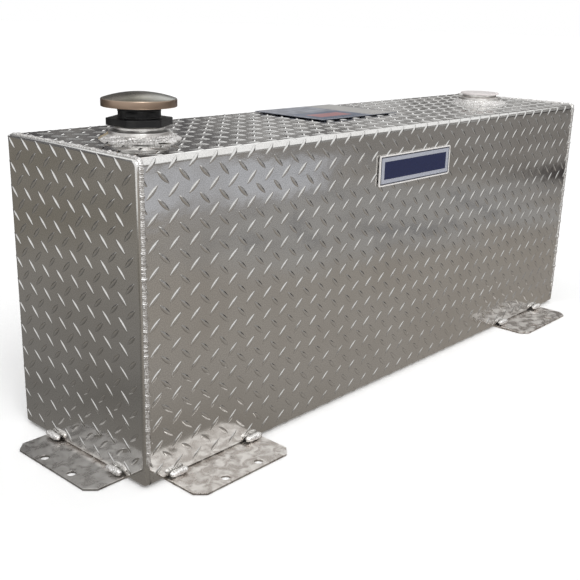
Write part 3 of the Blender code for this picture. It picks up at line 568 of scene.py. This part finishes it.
def on_end(face_x, outwards):
    """Lays (right, down) from the face's top left corner, seen from outside, onto an end: past the
    flat face it turns back round the bend."""
    def lay(right, down, lift):
        side = outwards * (right - (back - front) / 2)
        fall = (top - bottom) / 2 - down
        over_y = np.sign(side) * np.clip(np.abs(side) - half_y, 0, END_FOLD * 1.2)
        over_z = np.sign(fall) * np.clip(np.abs(fall) - half_z, 0, END_FOLD * 1.2)
        turn_y, turn_z = over_y / END_FOLD, over_z / END_FOLD
        look = np.stack([outwards * np.cos(turn_y) * np.cos(turn_z), np.sin(turn_y), np.sin(turn_z)], -1)
        look /= np.linalg.norm(look, axis=-1, keepdims=True)
        sunk = END_FOLD * (2 - np.cos(turn_y) - np.cos(turn_z))
        y = mid_y + np.clip(side, -half_y, half_y) + END_FOLD * np.sin(turn_y)
        z = mid_z + np.clip(fall, -half_z, half_z) + END_FOLD * np.sin(turn_z)
        return np.stack([face_x - outwards * sunk, y, z], -1) + look * lift[..., None]
    return lay


for name, face_x, outwards in (("left_end", tank_left, -1), ("right_end", tank_right, 1)):
    pan = finished(name + "_pan", end_mesh(name + "_pan", face_x, -outwards), tread.owner, "tank",
                   "tread_plate", name + "_plate")
    walled(pan, SHEET)
    ends = crossed_sets(
        END_LUGS_FROM, back - front - END_LUGS_FROM, END_LUGS_FROM, top - bottom - END_LUGS_FROM,
        END_COLUMN, END_ROW,
    )
    ends[:, 2] *= -1
    tread_mesh = lug_mesh(name + "_tread", ends[:, :2], ends[:, 2], on_end(face_x, outwards))
    finished(name + "_tread", tread_mesh, tread.owner, "tank", "tread_plate")


# Weld beads
# One pass of weld over each joint of the ends and along the seam below, laid as small overlapping
# pools, and a heavy uneven fillet round each bung. As-welded metal is pale and dull.
POOL_PITCH, END_BEAD, SEAM_BEAD = 0.0026, (0.0074, 0.0022), (0.0060, 0.0019)
BEAD_LAP, PLAIN_BY_BOTTOM, ROW_AT_JOINT = 0.0012, 0.022, 0.0036
FILLET_IN, FILLET_OUT, FILLET_HEIGHT = 0.0449, 0.0594, 0.0076


def pools(along, across):
    """How full a bead is: a row of pools, each bowed forward as 1-v^2 across, with a size of its own,
    and a dip of a quarter between them."""
    place = (along - 0.45 * POOL_PITCH * (1 - across**2)) / POOL_PITCH
    own = chance.normal(1, 0.14, int(place.max()) + 3)
    return np.interp(place, np.arange(len(own)), own) * (0.90 + 0.12 * np.cos(math.tau * place))


def wavy(turn, first, last):
    """An uneven closed curve round a ring: sines of rising count, each with its own phase."""
    counts = np.arange(first, last)[:, None, None]
    phase = chance.uniform(0, math.tau, (last - first, 1, 1))
    return (np.sin(counts * turn + phase) / counts**0.7).sum(0)


def bead_mesh(name, length, on_surface, width, height, swollen):
    """A bead from 0 to length on a surface (along, across, lift): half an ellipse across and flat
    under, its size falling as the root of the distance at both ends, and swollen at some places."""
    along = np.linspace(0, length, int(length / POOL_PITCH * 4) + 1)[:, None]
    turn = np.radians(np.linspace(0, 180, 11))
    across = np.cos(turn)
    taper = np.sqrt(np.clip(np.minimum(along, length - along) / width, 0, 1))
    swell = 1 + 0.45 * np.exp(-((along - swollen) / 0.0025) ** 2).max(1, keepdims=True)
    full = pools(along, across) * taper * swell
    knots = np.arange(0, length + 0.04, 0.02)
    drift = np.interp(along, knots, chance.normal(0, 0.0003, len(knots)))
    lift = height * np.sin(turn) ** 0.8 * full - 0.0002
    side = drift + across * width / 2 * taper * full**0.5
    return grid_mesh(name, on_surface(along, side, lift), around=True)


def over_joint(end_x, inwards, start):
    """Lays a bead over the joint of an end and onto its bend, which sags from the sheet's face as
    f - (f^2 - d^2)^(1/2) in the fold f."""
    def lay(along, across, lift):
        from_end = END_RIM - BEAD_LAP + across
        past = np.clip(END_FOLD - from_end, 0, END_FOLD * 0.9)
        sag = END_FOLD - np.sqrt(END_FOLD**2 - past**2)
        return on_sheet(end_x + inwards * from_end, start + along, lift - sag)
    return lay


def under_seam(along, across, lift):
    """Lays a bead along the seam, on the tank's underside."""
    return np.stack(np.broadcast_arrays(seam_low.x + along, seam + across, bottom - lift), -1)


weld, shader = new_finish("weld_metal", metallic=1.0)
scale_marks = weld.noise(weld.place(), 420.0, 4.0, 0.6)
frost = weld.mix(weld.step(scale_marks, 0.35, 0.62), (0.52, 0.50, 0.48), (0.93, 0.92, 0.91))
filler = centre_of("filler_bung")
off_x, off_y, _ = weld.axes(weld.place((filler[0] - 0.038, filler[1] + 0.036, 0)))
burnt = 1.0 - weld.step(off_x * off_x + off_y * off_y, 0.00006, 0.00055)
weld.plug(weld.mix(burnt * 0.75, frost, (0.62, 0.49, 0.27)), shader["Base Color"])
weld.plug(0.30 + scale_marks * 0.35, shader["Roughness"])
spatter = weld.noise(weld.place(), 900.0, 3.0, 0.6) * 0.10
weld.plug(weld.bump(scale_marks * 0.45 + spatter), shader["Normal"])

# The end beads run from the back's foot over the top to the front's foot. They swell where a row of
# lugs runs out under them, and at the top front fold.
start = run[on_path(0, FOLD_STEPS)] + PLAIN_BY_BOTTOM
stop = run[on_path(3, 0)] - PLAIN_BY_BOTTOM
lug_rows = first_row + ROW_AT_JOINT - PITCH * np.arange(-12, 40)
swollen = np.append(lug_rows, run[on_path(2, FOLD_STEPS // 2)]) - start
for name, end_x, inwards in (("left_end", tank_left, 1), ("right_end", tank_right, -1)):
    mesh = bead_mesh(name + "_bead", stop - start, over_joint(end_x, inwards, start), *END_BEAD, swollen)
    finished(name + "_bead", mesh, weld.owner, "tank", "weld_metal", name + "_weld")
seam_low, seam_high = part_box("seam_weld")
mesh = bead_mesh("seam_bead", seam_high.x - seam_low.x, under_seam, *SEAM_BEAD, np.array([1.0]))
finished("seam_bead", mesh, weld.owner, "tank", "weld_metal", "seam_weld")


def ring_weld_mesh(name, centre, inner, outer, height):
    """The fillet round a bung's flange: it falls as (1-v)^1.1 to a ragged toe, with a ridge for each
    of three passes and pools along them, and closes under itself."""
    turn = np.linspace(0, math.tau, 300, endpoint=False)[:, None]
    v = np.linspace(0, 1, 15)
    toe = outer + 0.0011 * wavy(turn, 3, 26)
    radius = inner + (toe - inner) * v
    passes = 0.0007 * np.abs(np.sin(3 * math.pi * v + 0.25 * wavy(turn, 2, 9)))
    ripples = 0.0005 * np.cos(turn * 82 + 5 * v + wavy(turn, 2, 12))
    lumps = 0.0006 * wavy(turn + 0.9 * v, 5, 30)
    rough = (passes + ripples + lumps) * np.minimum(1, 6 * (1 - v))
    lift = (height * (1 - v) ** 1.1 + rough) * (1 - v**9)
    radius = np.concatenate([radius, toe, np.full_like(toe, inner)], 1)
    lift = np.concatenate([np.maximum(lift, 0), np.full((300, 2), -0.0002)], 1)
    x, y = centre[0] + radius * np.cos(turn), centre[1] + radius * np.sin(turn)
    return grid_mesh(name, np.stack([x, y, top + lift], -1), around=True, along=True)


for bung in BUNGS:
    mesh = ring_weld_mesh(bung + "_fillet", centre_of(bung), FILLET_IN, FILLET_OUT, FILLET_HEIGHT)
    finished(bung + "_fillet", mesh, weld.owner, "tank", "weld_metal", bung + "_weld")


# Turned pieces
# The bungs are turned aluminium: a spigot through the sheet, a flange and a collar round the bore.
# The fibre washer on the left one seals the filler neck.
def rounded(*corners):
    """An outline (radius, height) through corners (radius, height, rounding), each rounded by an
    arc of five points."""
    place = np.array([corner[:2] for corner in corners])
    outline = []
    for index, point in enumerate(place):
        rounding = corners[index][2]
        if rounding == 0:
            outline.append(point)
            continue
        last, next_one = place[index - 1] - point, place[(index + 1) % len(place)] - point
        last, next_one = last / np.hypot(*last), next_one / np.hypot(*next_one)
        half = math.acos(np.clip(last @ next_one, -1, 1)) / 2
        middle = (last + next_one) / np.hypot(*(last + next_one)) * rounding / math.sin(half)
        first = last * rounding / math.tan(half) - middle
        final = next_one * rounding / math.tan(half) - middle
        angle = math.pi - 2 * half
        for share in np.linspace(0, 1, 5):
            blend = first * math.sin(angle * (1 - share)) + final * math.sin(angle * share)
            outline.append(point + middle + blend / math.sin(angle))
    return np.array(outline)


def turned_mesh(name, centre, outline, steps=96):
    """An outline turned about an upright axis: a closed one makes a ring, one that starts and ends
    on the axis a disc."""
    turn = np.linspace(0, math.tau, steps, endpoint=False)
    radius, height = outline.T[..., None]
    x, y = centre[0] + radius * np.cos(turn), centre[1] + radius * np.sin(turn)
    points = np.stack([x, y, np.broadcast_to(height, x.shape)], -1)
    return grid_mesh(name, points, around=True, along=outline[0, 0] > 0)


def evened(piece):
    """Lets the large faces of a piece keep their own shading beside its small roundings."""
    piece.modifiers.new("even_shading", "WEIGHTED_NORMAL").keep_sharp = True
    return piece


def ring_piece(name, node, radii, roundings, net, body, slot, steps=96):
    """A flat ring about the filler's axis, as tall as its node, its inner and outer edges rounded."""
    low, high = (corner.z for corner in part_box(node))
    (inner, outer), (ease_in, ease_out) = radii, roundings
    outline = rounded(
        (inner, high, ease_in), (outer, high, ease_out), (outer, low, ease_out), (inner, low, ease_in),
    )
    mesh = turned_mesh(name, filler, outline, steps)
    evened(finished(name, mesh, net.owner, body, slot, node))


turned, shader = new_finish("turned_aluminium", metallic=1.0)
pump = centre_of("pump_bung")
from_left, _, _ = turned.axes(turned.place((filler[0], 0, 0)))
from_right, from_front, high_up = turned.axes(turned.place((pump[0], pump[1], 0)))
nearer = turned.math("MINIMUM", turned.math("ABSOLUTE", from_left), turned.math("ABSOLUTE", from_right))
from_axis = (nearer * nearer + from_front * from_front) ** 0.5
cut = turned.add("CombineXYZ", {}, {"X": from_axis, "Y": high_up})
marks = turned.noise(cut, 1400.0, 2.0)
dull = turned.step(turned.noise(turned.place(), 60.0, 3.0), 0.35, 0.70)
turned.plug(turned.mix(dull, (0.60, 0.58, 0.56), (0.80, 0.79, 0.77)), shader["Base Color"])
turned.plug(0.26 + dull * 0.12 + marks * 0.10, shader["Roughness"])
turned.plug(turned.bump(marks * 0.05 + dull * 0.04), shader["Normal"])

BORE, COLLAR, FLANGE, SPIGOT = 0.0300, 0.0358, 0.0448, 0.0345
COLLAR_HEIGHT, FLANGE_SLOPE, SEAT_GAP = 0.0036, 0.0024, 0.0003
for bung in BUNGS:
    low, high = (corner.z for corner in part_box(bung))
    collar_foot, seat = high - COLLAR_HEIGHT, top + SEAT_GAP
    outline = rounded(
        (BORE, high, 0.0008), (COLLAR, high, 0.0007), (COLLAR, collar_foot, 0.0006),
        (FLANGE, collar_foot - FLANGE_SLOPE, 0.0007), (FLANGE, seat, 0.0002), (SPIGOT, seat, 0.0002),
        (SPIGOT, low, 0.0008), (BORE, low, 0.0006),
    )
    mesh = turned_mesh(bung + "_body", centre_of(bung), outline)
    evened(finished(bung + "_body", mesh, turned.owner, "tank", "turned_aluminium", bung))

fibre, shader = new_finish("grey_fibre")
fleck = fibre.noise(fibre.place(), 700.0, 4.0, 0.7)
fibre.plug(fibre.mix(fleck, (0.20, 0.19, 0.17), (0.40, 0.38, 0.35)), shader["Base Color"])
fibre.plug(0.8, shader["Roughness"])
fibre.plug(fibre.bump(fleck * 0.06), shader["Normal"])
ring_piece("washer_ring", "neck_washer", (BORE, COLLAR), (0.0002, 0.0002), fibre, "tank", "grey_fibre")


# Filler neck
# A moulded black adaptor: a spigot in the bung, a hexagon for a spanner, and a short neck with six
# shallow windows round it.
NECK_BORE, NECK_RADIUS, NECK_SPIGOT = 0.0252, 0.0310, 0.0297
HEX_CORNER, HEX_HEIGHT = 0.0480, 0.0102
WINDOW_WIDTH, WINDOW_HEIGHT, WINDOW_DEPTH = 0.0190, 0.0062, 0.0022


def neck_mesh():
    """Rings of the neck from its spigot up and back down its bore. In the hexagon the radius is the
    distance to the nearest flat, h/cos(a), less the rounding of the edge. In a window it is that
    of a flat set in from the neck."""
    low, high = (corner.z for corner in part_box("filler_neck"))
    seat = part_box("neck_washer")[1].z + SEAT_GAP
    half = math.degrees(math.asin(WINDOW_WIDTH / 2 / NECK_RADIUS))
    edges = np.array([-half - 0.5, -half, -1.2, -0.5, 0.5, 1.2, half, half + 0.5])
    sixths = [30 + 60 * sixth + edges for sixth in range(6)]
    turn = np.concatenate([np.linspace(0, 360, 144, endpoint=False), *sixths])
    turn = np.unique(np.round(turn % 360, 3))
    from_flat, from_window = np.radians((turn - 30) % 60 - 30), turn % 60 - 30
    hexagon = HEX_CORNER * math.cos(math.radians(30)) / np.cos(from_flat)
    hexagon = np.minimum(hexagon, HEX_CORNER - 0.0004)
    set_in = (NECK_RADIUS - WINDOW_DEPTH) / np.cos(np.radians(from_window))
    window = np.where(np.abs(from_window) <= half + 0.01, np.minimum(set_in, NECK_RADIUS), NECK_RADIUS)
    ring, rings = np.ones(len(turn)), []
    for radius, z in ((NECK_SPIGOT - 0.0006, low), (NECK_SPIGOT, low + 0.0006), (NECK_SPIGOT, seat)):
        rings.append((radius * ring, z))
    for inset, up in ((0.0006, 0.0), (0.00018, 0.00018), (0.0, 0.0006)):
        rings.append((hexagon - inset, seat + up))
    for inset, down in ((0.0, 0.0006), (0.00018, 0.00018), (0.0006, 0.0)):
        rings.append((hexagon - inset, seat + HEX_HEIGHT - down))
    foot, sill = seat + HEX_HEIGHT, (seat + HEX_HEIGHT + high) / 2
    rings += [((NECK_RADIUS + 0.0006) * ring, foot), (NECK_RADIUS * ring, foot + 0.0006)]
    half_up = WINDOW_HEIGHT / 2
    for up, radius in (
        (-half_up - 0.00025, NECK_RADIUS), (-half_up, window), (half_up, window),
        (half_up + 0.00025, NECK_RADIUS),
    ):
        rings.append((radius * ring, sill + up))
    for radius, z in (
        (NECK_RADIUS, high - 0.0005), (NECK_RADIUS - 0.0005, high), (NECK_BORE + 0.0005, high),
        (NECK_BORE, high - 0.0005), (NECK_BORE, low),
    ):
        rings.append((radius * ring, z))
    turn = np.radians(turn)
    points = [(filler[0] + r * np.cos(turn), filler[1] + r * np.sin(turn), z * ring) for r, z in rings]
    return grid_mesh("neck", np.array(points).transpose(0, 2, 1), around=True, along=True)


black, shader = new_finish("black_plastic")
grain = black.noise(black.place(), 1500.0, 2.0)
worn = black.step(black.noise(black.place(), 45.0, 4.0), 0.45, 0.80)
black.plug(0.3, shader["Specular IOR Level"])
black.plug(black.mix(worn, (0.004, 0.004, 0.005), (0.020, 0.019, 0.018)), shader["Base Color"])
black.plug(0.36 + worn * 0.16, shader["Roughness"])
black.plug(black.bump(grain * 0.02 + worn * 0.05), shader["Normal"])
evened(finished("neck", neck_mesh(), black.owner, "tank", "black_plastic", "filler_neck"))


# Cap
# A pressed steel dome, yellow passivated, with its rim turned in under a zinc plate. A rubber ring
# under it seals the neck. The core, the rivet and the foam ring are inside.
CAP_RADIUS, CAP_SHEET, CAP_LIP, CAP_CROWN = 0.0540, 0.0012, 0.0036, 0.0093
GASKET, BACKING_PLATE, FOAM_RING = (0.0262, 0.0328), (0.0033, 0.0525), (0.010, 0.040)


def crown(rim_radius, rim, apex):
    """Corners on a crown's arc from the axis at the apex down to its rim, unrounded."""
    rise = apex - rim
    curve = (rim_radius**2 + rise**2) / (2 * rise)
    turn = np.linspace(0, math.asin(rim_radius / curve), 15)
    heights = apex - curve * (1 - np.cos(turn))
    return [(radius, height, 0) for radius, height in zip(curve * np.sin(turn), heights)]


rubber, shader = new_finish("black_rubber")
bloom = rubber.step(rubber.noise(rubber.place(), 80.0, 4.0), 0.45, 0.75)
rubber.plug(rubber.mix(bloom, (0.012, 0.012, 0.012), (0.030, 0.029, 0.028)), shader["Base Color"])
rubber.plug(0.62 + bloom * 0.2, shader["Roughness"])
ring_piece("gasket_ring", "cap_gasket", GASKET, (0.0008, 0.0012), rubber, "cap_seal", "black_rubber")

steel, shader = new_finish("passivated_steel", metallic=1.0)
low, high = (corner.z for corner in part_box("cap_dome"))
rim = high - CAP_CROWN
from_x, from_y, _ = steel.axes(steel.place(filler))
_, _, height = steel.axes(steel.place((0, 0, rim)))
cloud = steel.step(steel.noise(steel.place(), 22.0, 3.0), 0.35, 0.65)
film = steel.mix(cloud, (0.32, 0.30, 0.235), (0.30, 0.265, 0.22))
# Painted shade: the dome's side towards +x and -y is painted darker and greyer.
film = steel.mix(steel.step(from_x * 0.8 - from_y * 0.6, -0.02, 0.05), film, (0.235, 0.24, 0.215))
on_rim = 1.0 - steel.step(height, -0.0010, 0.0006)
steel.plug(steel.mix(on_rim, film, (0.37, 0.275, 0.21)), shader["Base Color"])
steel.plug(0.20 + cloud * 0.08 + on_rim * 0.10, shader["Roughness"])
brushed = steel.noise(steel.place(stretch=(1, 1, 12)), 220.0, 3.0)
steel.plug(steel.bump(brushed * 0.02 + cloud * 0.05), shader["Normal"])
outline = rounded(
    *crown(CAP_RADIUS, rim, high)[:-1], (CAP_RADIUS, rim, 0.0022), (CAP_RADIUS, low, 0.0007),
    (CAP_RADIUS - CAP_LIP, low, 0.0003), (CAP_RADIUS - CAP_LIP, low + CAP_SHEET, 0.0003),
    (CAP_RADIUS - CAP_SHEET, low + CAP_SHEET, 0),
    *crown(CAP_RADIUS - CAP_SHEET, rim - CAP_SHEET / 2, high - CAP_SHEET)[::-1],
)
mesh = turned_mesh("dome", filler, outline, 128)
finished("dome", mesh, steel.owner, "cap", "passivated_steel", "cap_dome")

zinc, shader = new_finish("zinc_steel", metallic=1.0)
spangle = zinc.noise(zinc.place(), 180.0, 3.0)
zinc.plug(zinc.mix(spangle, (0.60, 0.58, 0.55), (0.78, 0.77, 0.75)), shader["Base Color"])
zinc.plug(0.24 + spangle * 0.16, shader["Roughness"])
ring_piece("backing_plate", "cap_backing_plate", BACKING_PLATE, (0.0003, 0.0003), zinc, "cap", "zinc_steel")
low, high = (corner.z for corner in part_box("cap_rivet"))
head = np.array([(0, 0, 0), (0.0035, 0.0001, 0), (0.0060, 0.0010, 0.0004), (0.0060, 0.0018, 0.0002),
                 (0.0030, 0.0018, 0.0002)])
outline = rounded(*(head * (1, -1, 1) + (0, high, 0)), *(head[::-1] + (0, low, 0)))
mesh = turned_mesh("rivet", filler, outline, 32)
evened(finished("rivet", mesh, zinc.owner, "cap", "zinc_steel", "cap_rivet"))

foam, shader = new_finish("filter_foam")
cells = foam.add("TexVoronoi", {}, {"Vector": foam.place(), "Scale": 900.0})
# Painted shade: the foam's pores are painted darker than its cell walls.
wall = foam.step(cells, 0.1, 0.5)
foam.plug(foam.mix(wall, (0.03, 0.03, 0.03), (0.15, 0.15, 0.15)), shader["Base Color"])
foam.plug(0.95, shader["Roughness"])
foam.plug(foam.bump(cells * 0.5), shader["Normal"])
ring_piece("foam_ring", "vent_filter", FOAM_RING, (0.0006, 0.0006), foam, "cap", "filter_foam", 64)
cad["cap_core"].material_slots[0].material = black.owner


# Plug
# A thin disc of translucent plastic pushed into the right bung. Its hollow skirt grips the bore.
PLUG_RIM, PLUG_SKIRT, PLUG_WALL = 0.0404, 0.0296, 0.0018
clear, shader = new_finish("clear_plastic")
milky = clear.noise(clear.place(), 70.0, 4.0)
clear.plug(clear.mix(milky, (0.90, 0.84, 0.83), (0.96, 0.92, 0.91)), shader["Base Color"])
clear.plug(0.28 + milky * 0.2, shader["Roughness"])
clear.plug(0.30, shader["Transmission Weight"])
clear.plug(clear.bump(milky * 0.10), shader["Normal"])
low, high = (corner.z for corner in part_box("port_plug"))
seat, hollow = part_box("pump_bung")[1].z + SEAT_GAP, PLUG_SKIRT - PLUG_WALL
outline = rounded(
    (0, high, 0), (PLUG_RIM, high, 0.0010), (PLUG_RIM, seat, 0.0005), (PLUG_SKIRT, seat, 0.0003),
    (PLUG_SKIRT, low, 0.0005), (hollow, low, 0.0005), (hollow, high - PLUG_WALL, 0.0005),
    (0, high - PLUG_WALL, 0),
)
mesh = turned_mesh("plug", pump, outline)
evened(finished("plug", mesh, clear.owner, "plug", "clear_plastic", "port_plug"))


# Mounting tabs
# Sheared mill-finish plate with two holes and cut corners, lapped under the tank and held at both
# ends by a short heavy weld to the fold above.
def slab_mesh(name, loops, low, high):
    """A flat plate between two heights: an outline and its holes as flat loops, both faces cut into
    triangles."""
    flat = [np.array(loop) for loop in loops]
    corners = np.vstack(flat)
    triangles = tessellate_polygon([[(x, y, 0) for x, y in loop] for loop in flat])
    count = len(corners)
    faces = [tuple(triangle) for triangle in triangles]
    faces += [tuple(index + count for index in reversed(triangle)) for triangle in triangles]
    first = 0
    for loop in flat:
        ring = first + np.arange(len(loop))
        faces += np.stack([ring, np.roll(ring, -1), np.roll(ring, -1) + count, ring + count], -1).tolist()
        first += len(loop)
    points = [(x, y, z) for z in (low, high) for x, y in corners]
    mesh = bpy.data.meshes.new(name)
    mesh.from_pydata(points, [], faces)
    return mesh


def eased(piece, width, angle=30):
    """Rounds the edges of a piece and keeps its flats flat."""
    edges = piece.modifiers.new("eased_edges", "BEVEL")
    edges.width, edges.segments = width, 2
    edges.limit_method, edges.angle_limit = "ANGLE", math.radians(angle)
    return evened(piece)


mill, shader = new_finish("mill_plate", metallic=1.0)
swirl = mill.add("TexNoise", {}, {
    "Vector": mill.place(stretch=(1, 1, 0.2)), "Scale": 58.0, "Detail": 3.0, "Roughness": 0.55,
    "Distortion": 0.7,
})
rubbed = mill.step(swirl, 0.38, 0.66)
drawn = mill.noise(mill.place(stretch=(9, 1, 1)), 90.0, 3.0)
# Painted shade: where a tab reaches out past the tank's left end, it is painted darker.
past_the_end, _, _ = mill.axes(mill.place((tank_left, 0, 0)))
scuffed = mill.mix(rubbed, (0.54, 0.50, 0.47), (0.92, 0.89, 0.86))
shaded_mill_tone = mill.mix(rubbed, (0.40, 0.385, 0.37), (0.56, 0.545, 0.53))
mill.plug(mill.mix(mill.step(past_the_end, -0.012, -0.004), shaded_mill_tone, scuffed), shader["Base Color"])
mill.plug(0.20 + rubbed * 0.16 + drawn * 0.10, shader["Roughness"])
mill.plug(mill.bump(swirl * 0.30 + drawn * 0.03), shader["Normal"])
for baffle in ("left_baffle", "right_baffle"):
    cad[baffle].material_slots[0].material = mill.owner

CUT_CORNER, HOLE, HOLE_SPACING, HOLE_FROM_EDGE = 0.0145, 0.0068, 0.067, 0.0133


def tab_loops(node):
    """A tab's outline with its outer corners cut, and its two holes, from the box of its node. The
    outer edge is the one away from the tank's middle."""
    low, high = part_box(node)
    size = np.array((high - low).xy)
    outwards = 1 if size[0] > size[1] else 0
    length, depth = size[1 - outwards] / 2, size[outwards] / 2
    side = -1 if centre_of(node)[outwards] < 0 else 1
    inner_length, inner_depth = length - CUT_CORNER, depth - CUT_CORNER
    loops = [np.array([
        (-length, -depth), (length, -depth), (length, inner_depth), (inner_length, depth),
        (-inner_length, depth), (-length, inner_depth),
    ])]
    turn = np.linspace(0, math.tau, 32, endpoint=False)
    circle = HOLE * np.stack([np.cos(turn), np.sin(turn)], -1)
    for hole in (-HOLE_SPACING / 2, HOLE_SPACING / 2):
        loops.append(circle + (hole, depth - HOLE_FROM_EDGE))
    placed = []
    for loop in loops:
        flat = np.stack([loop[:, 0], side * loop[:, 1]], -1)
        placed.append(centre_of(node)[:2] + (flat if outwards == 1 else flat[:, ::-1]))
    return placed


def stitch_mesh(name, node):
    """A short round weld inside its node's box: radius (1-|u|^4)^(1/2) along it, pooled and lumpy."""
    low, high = (np.array(corner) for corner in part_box(node))
    centre, half = (low + high) / 2, (high - low) / 2
    lies_along = 0 if half[0] > half[1] else 1
    u = np.linspace(-1, 1, 45)[:, None]
    turn = np.linspace(0, math.tau, 18, endpoint=False)
    full = (1 - u**4) ** 0.5 * (0.96 + 0.06 * np.cos(9 * math.pi * u + np.sin(turn))) + 0 * turn
    full = full * (1 + 0.05 * np.sin(3 * turn + 5 * u + chance.uniform(0, 6)))
    points = np.broadcast_to(centre, (*full.shape, 3)).copy()
    points[..., lies_along] += (half[lies_along] + 0.0005) * u
    points[..., 1 - lies_along] += half[1 - lies_along] * full * np.cos(turn)
    points[..., 2] += half[2] * full * np.sin(turn)
    return grid_mesh(name, points, around=True)


for tab in TABS:
    low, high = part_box(tab)
    mesh = slab_mesh(tab + "_plate", tab_loops(tab), low.z, high.z)
    eased(finished(tab + "_plate", mesh, mill.owner, "tank", "mill_plate", tab), 0.0005)
    for side in ("a", "b"):
        name = "%s_stitch_%s" % (tab, side)
        mesh = stitch_mesh(name, "%s_weld_%s" % (tab, side))
        finished(name, mesh, weld.owner, "tank", "weld_metal", "%s_weld_%s" % (tab, side))


# Plates
# A small plate high on the front, with a raised pale edge round a grey field and a dark blue band,
# and a printed placard that lies on the tread of the top, at the back.
def round_cornered(width, height, corner):
    """The outline of a rectangle about the origin with rounded corners of seven points."""
    turn = np.radians(np.linspace(0, 90, 7))
    outline = []
    for quarter, (side_x, side_y) in enumerate(((1, 1), (-1, 1), (-1, -1), (1, -1))):
        middle = np.array([side_x * (width / 2 - corner), side_y * (height / 2 - corner)])
        arc = np.stack([np.cos(turn + quarter * math.pi / 2), np.sin(turn + quarter * math.pi / 2)], -1)
        outline.append(middle + corner * arc)
    return np.vstack(outline)


def inside(net, x, y, half_x, half_y, blur=0.0004):
    """1 inside a rectangle about x = y = 0, and 0 outside it."""
    across = net.step(net.math("ABSOLUTE", x), half_x - blur, half_x + blur)
    upright = net.step(net.math("ABSOLUTE", y), half_y - blur, half_y + blur)
    return (1.0 - across) * (1.0 - upright)


badge = centre_of("badge_plate")
paint, shader = new_finish("badge_paint")
from_x, _, from_z = paint.axes(paint.place(badge))
speckle = paint.noise(paint.place(), 260.0, 3.0)
sunk = inside(paint, from_x, from_z, 0.1030, 0.0236)
line = paint.mix(sunk, (0.66, 0.64, 0.62), (0.030, 0.034, 0.050))
field = paint.mix(speckle, (0.28, 0.295, 0.34), (0.38, 0.39, 0.44))
field = paint.mix(inside(paint, from_x, from_z, 0.1010, 0.0216), line, field)
band = inside(paint, from_x, from_z, 0.0930, 0.0150)
paint.plug(paint.mix(band, field, (0.012, 0.017, 0.060)), shader["Base Color"])
paint.plug(0.35, shader["Specular IOR Level"])
paint.plug(0.30 + speckle * 0.12, shader["Roughness"])
paint.plug(paint.bump((1.0 - sunk) * 0.25 + speckle * 0.01), shader["Normal"])
low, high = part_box("badge_plate")
outline = round_cornered(high.x - low.x, high.z - low.z, 0.003)
mesh = slab_mesh("badge", [outline], low.y, high.y)
points = np.zeros(len(mesh.vertices) * 3)
mesh.vertices.foreach_get("co", points)
points = points.reshape(-1, 3)[:, [0, 2, 1]] + (badge[0], 0, badge[2])
mesh.vertices.foreach_set("co", points.ravel())
eased(finished("badge", mesh, paint.owner, "tank", "badge_paint", "badge_plate"), 0.0005, 50)

placard = centre_of("top_placard")
film, shader = new_finish("placard_film")
from_x, from_y, _ = film.axes(film.place(placard))
panel_x, panel_y, _ = film.axes(film.place(placard - (0.036, 0.036, 0)))
streak = film.noise(film.place(stretch=(1, 5, 1)), 30.0, 3.0)
colour = film.mix(film.step(streak, 0.42, 0.60), (0.12, 0.135, 0.17), (0.31, 0.33, 0.39))
pale = film.mix(streak, (0.28, 0.27, 0.26), (0.50, 0.49, 0.47))
colour = film.mix(film.step(from_x, 0.034, 0.036), colour, pale)
colour = film.mix(inside(film, panel_x, panel_y, 0.064, 0.040), colour, (0.045, 0.075, 0.140))
colour = film.mix(inside(film, panel_x, panel_y, 0.044, 0.019), colour, (0.36, 0.13, 0.14))
colour = film.mix(inside(film, from_x, from_y, 0.1060, 0.0810), (0.05, 0.06, 0.09), colour)
film.plug(colour, shader["Base Color"])
film.plug(0.28 + streak * 0.12, shader["Roughness"])
film.plug(0.3, shader["Coat Weight"])
film.plug(film.bump(streak * 0.12), shader["Normal"])
low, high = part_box("top_placard")
outline = round_cornered(high.x - low.x, high.y - low.y, 0.005) + placard[:2]
mesh = slab_mesh("placard", [outline], high.z - 0.0008, high.z)
eased(finished("placard", mesh, film.owner, "tank", "placard_film", "top_placard"), 0.0002, 50)
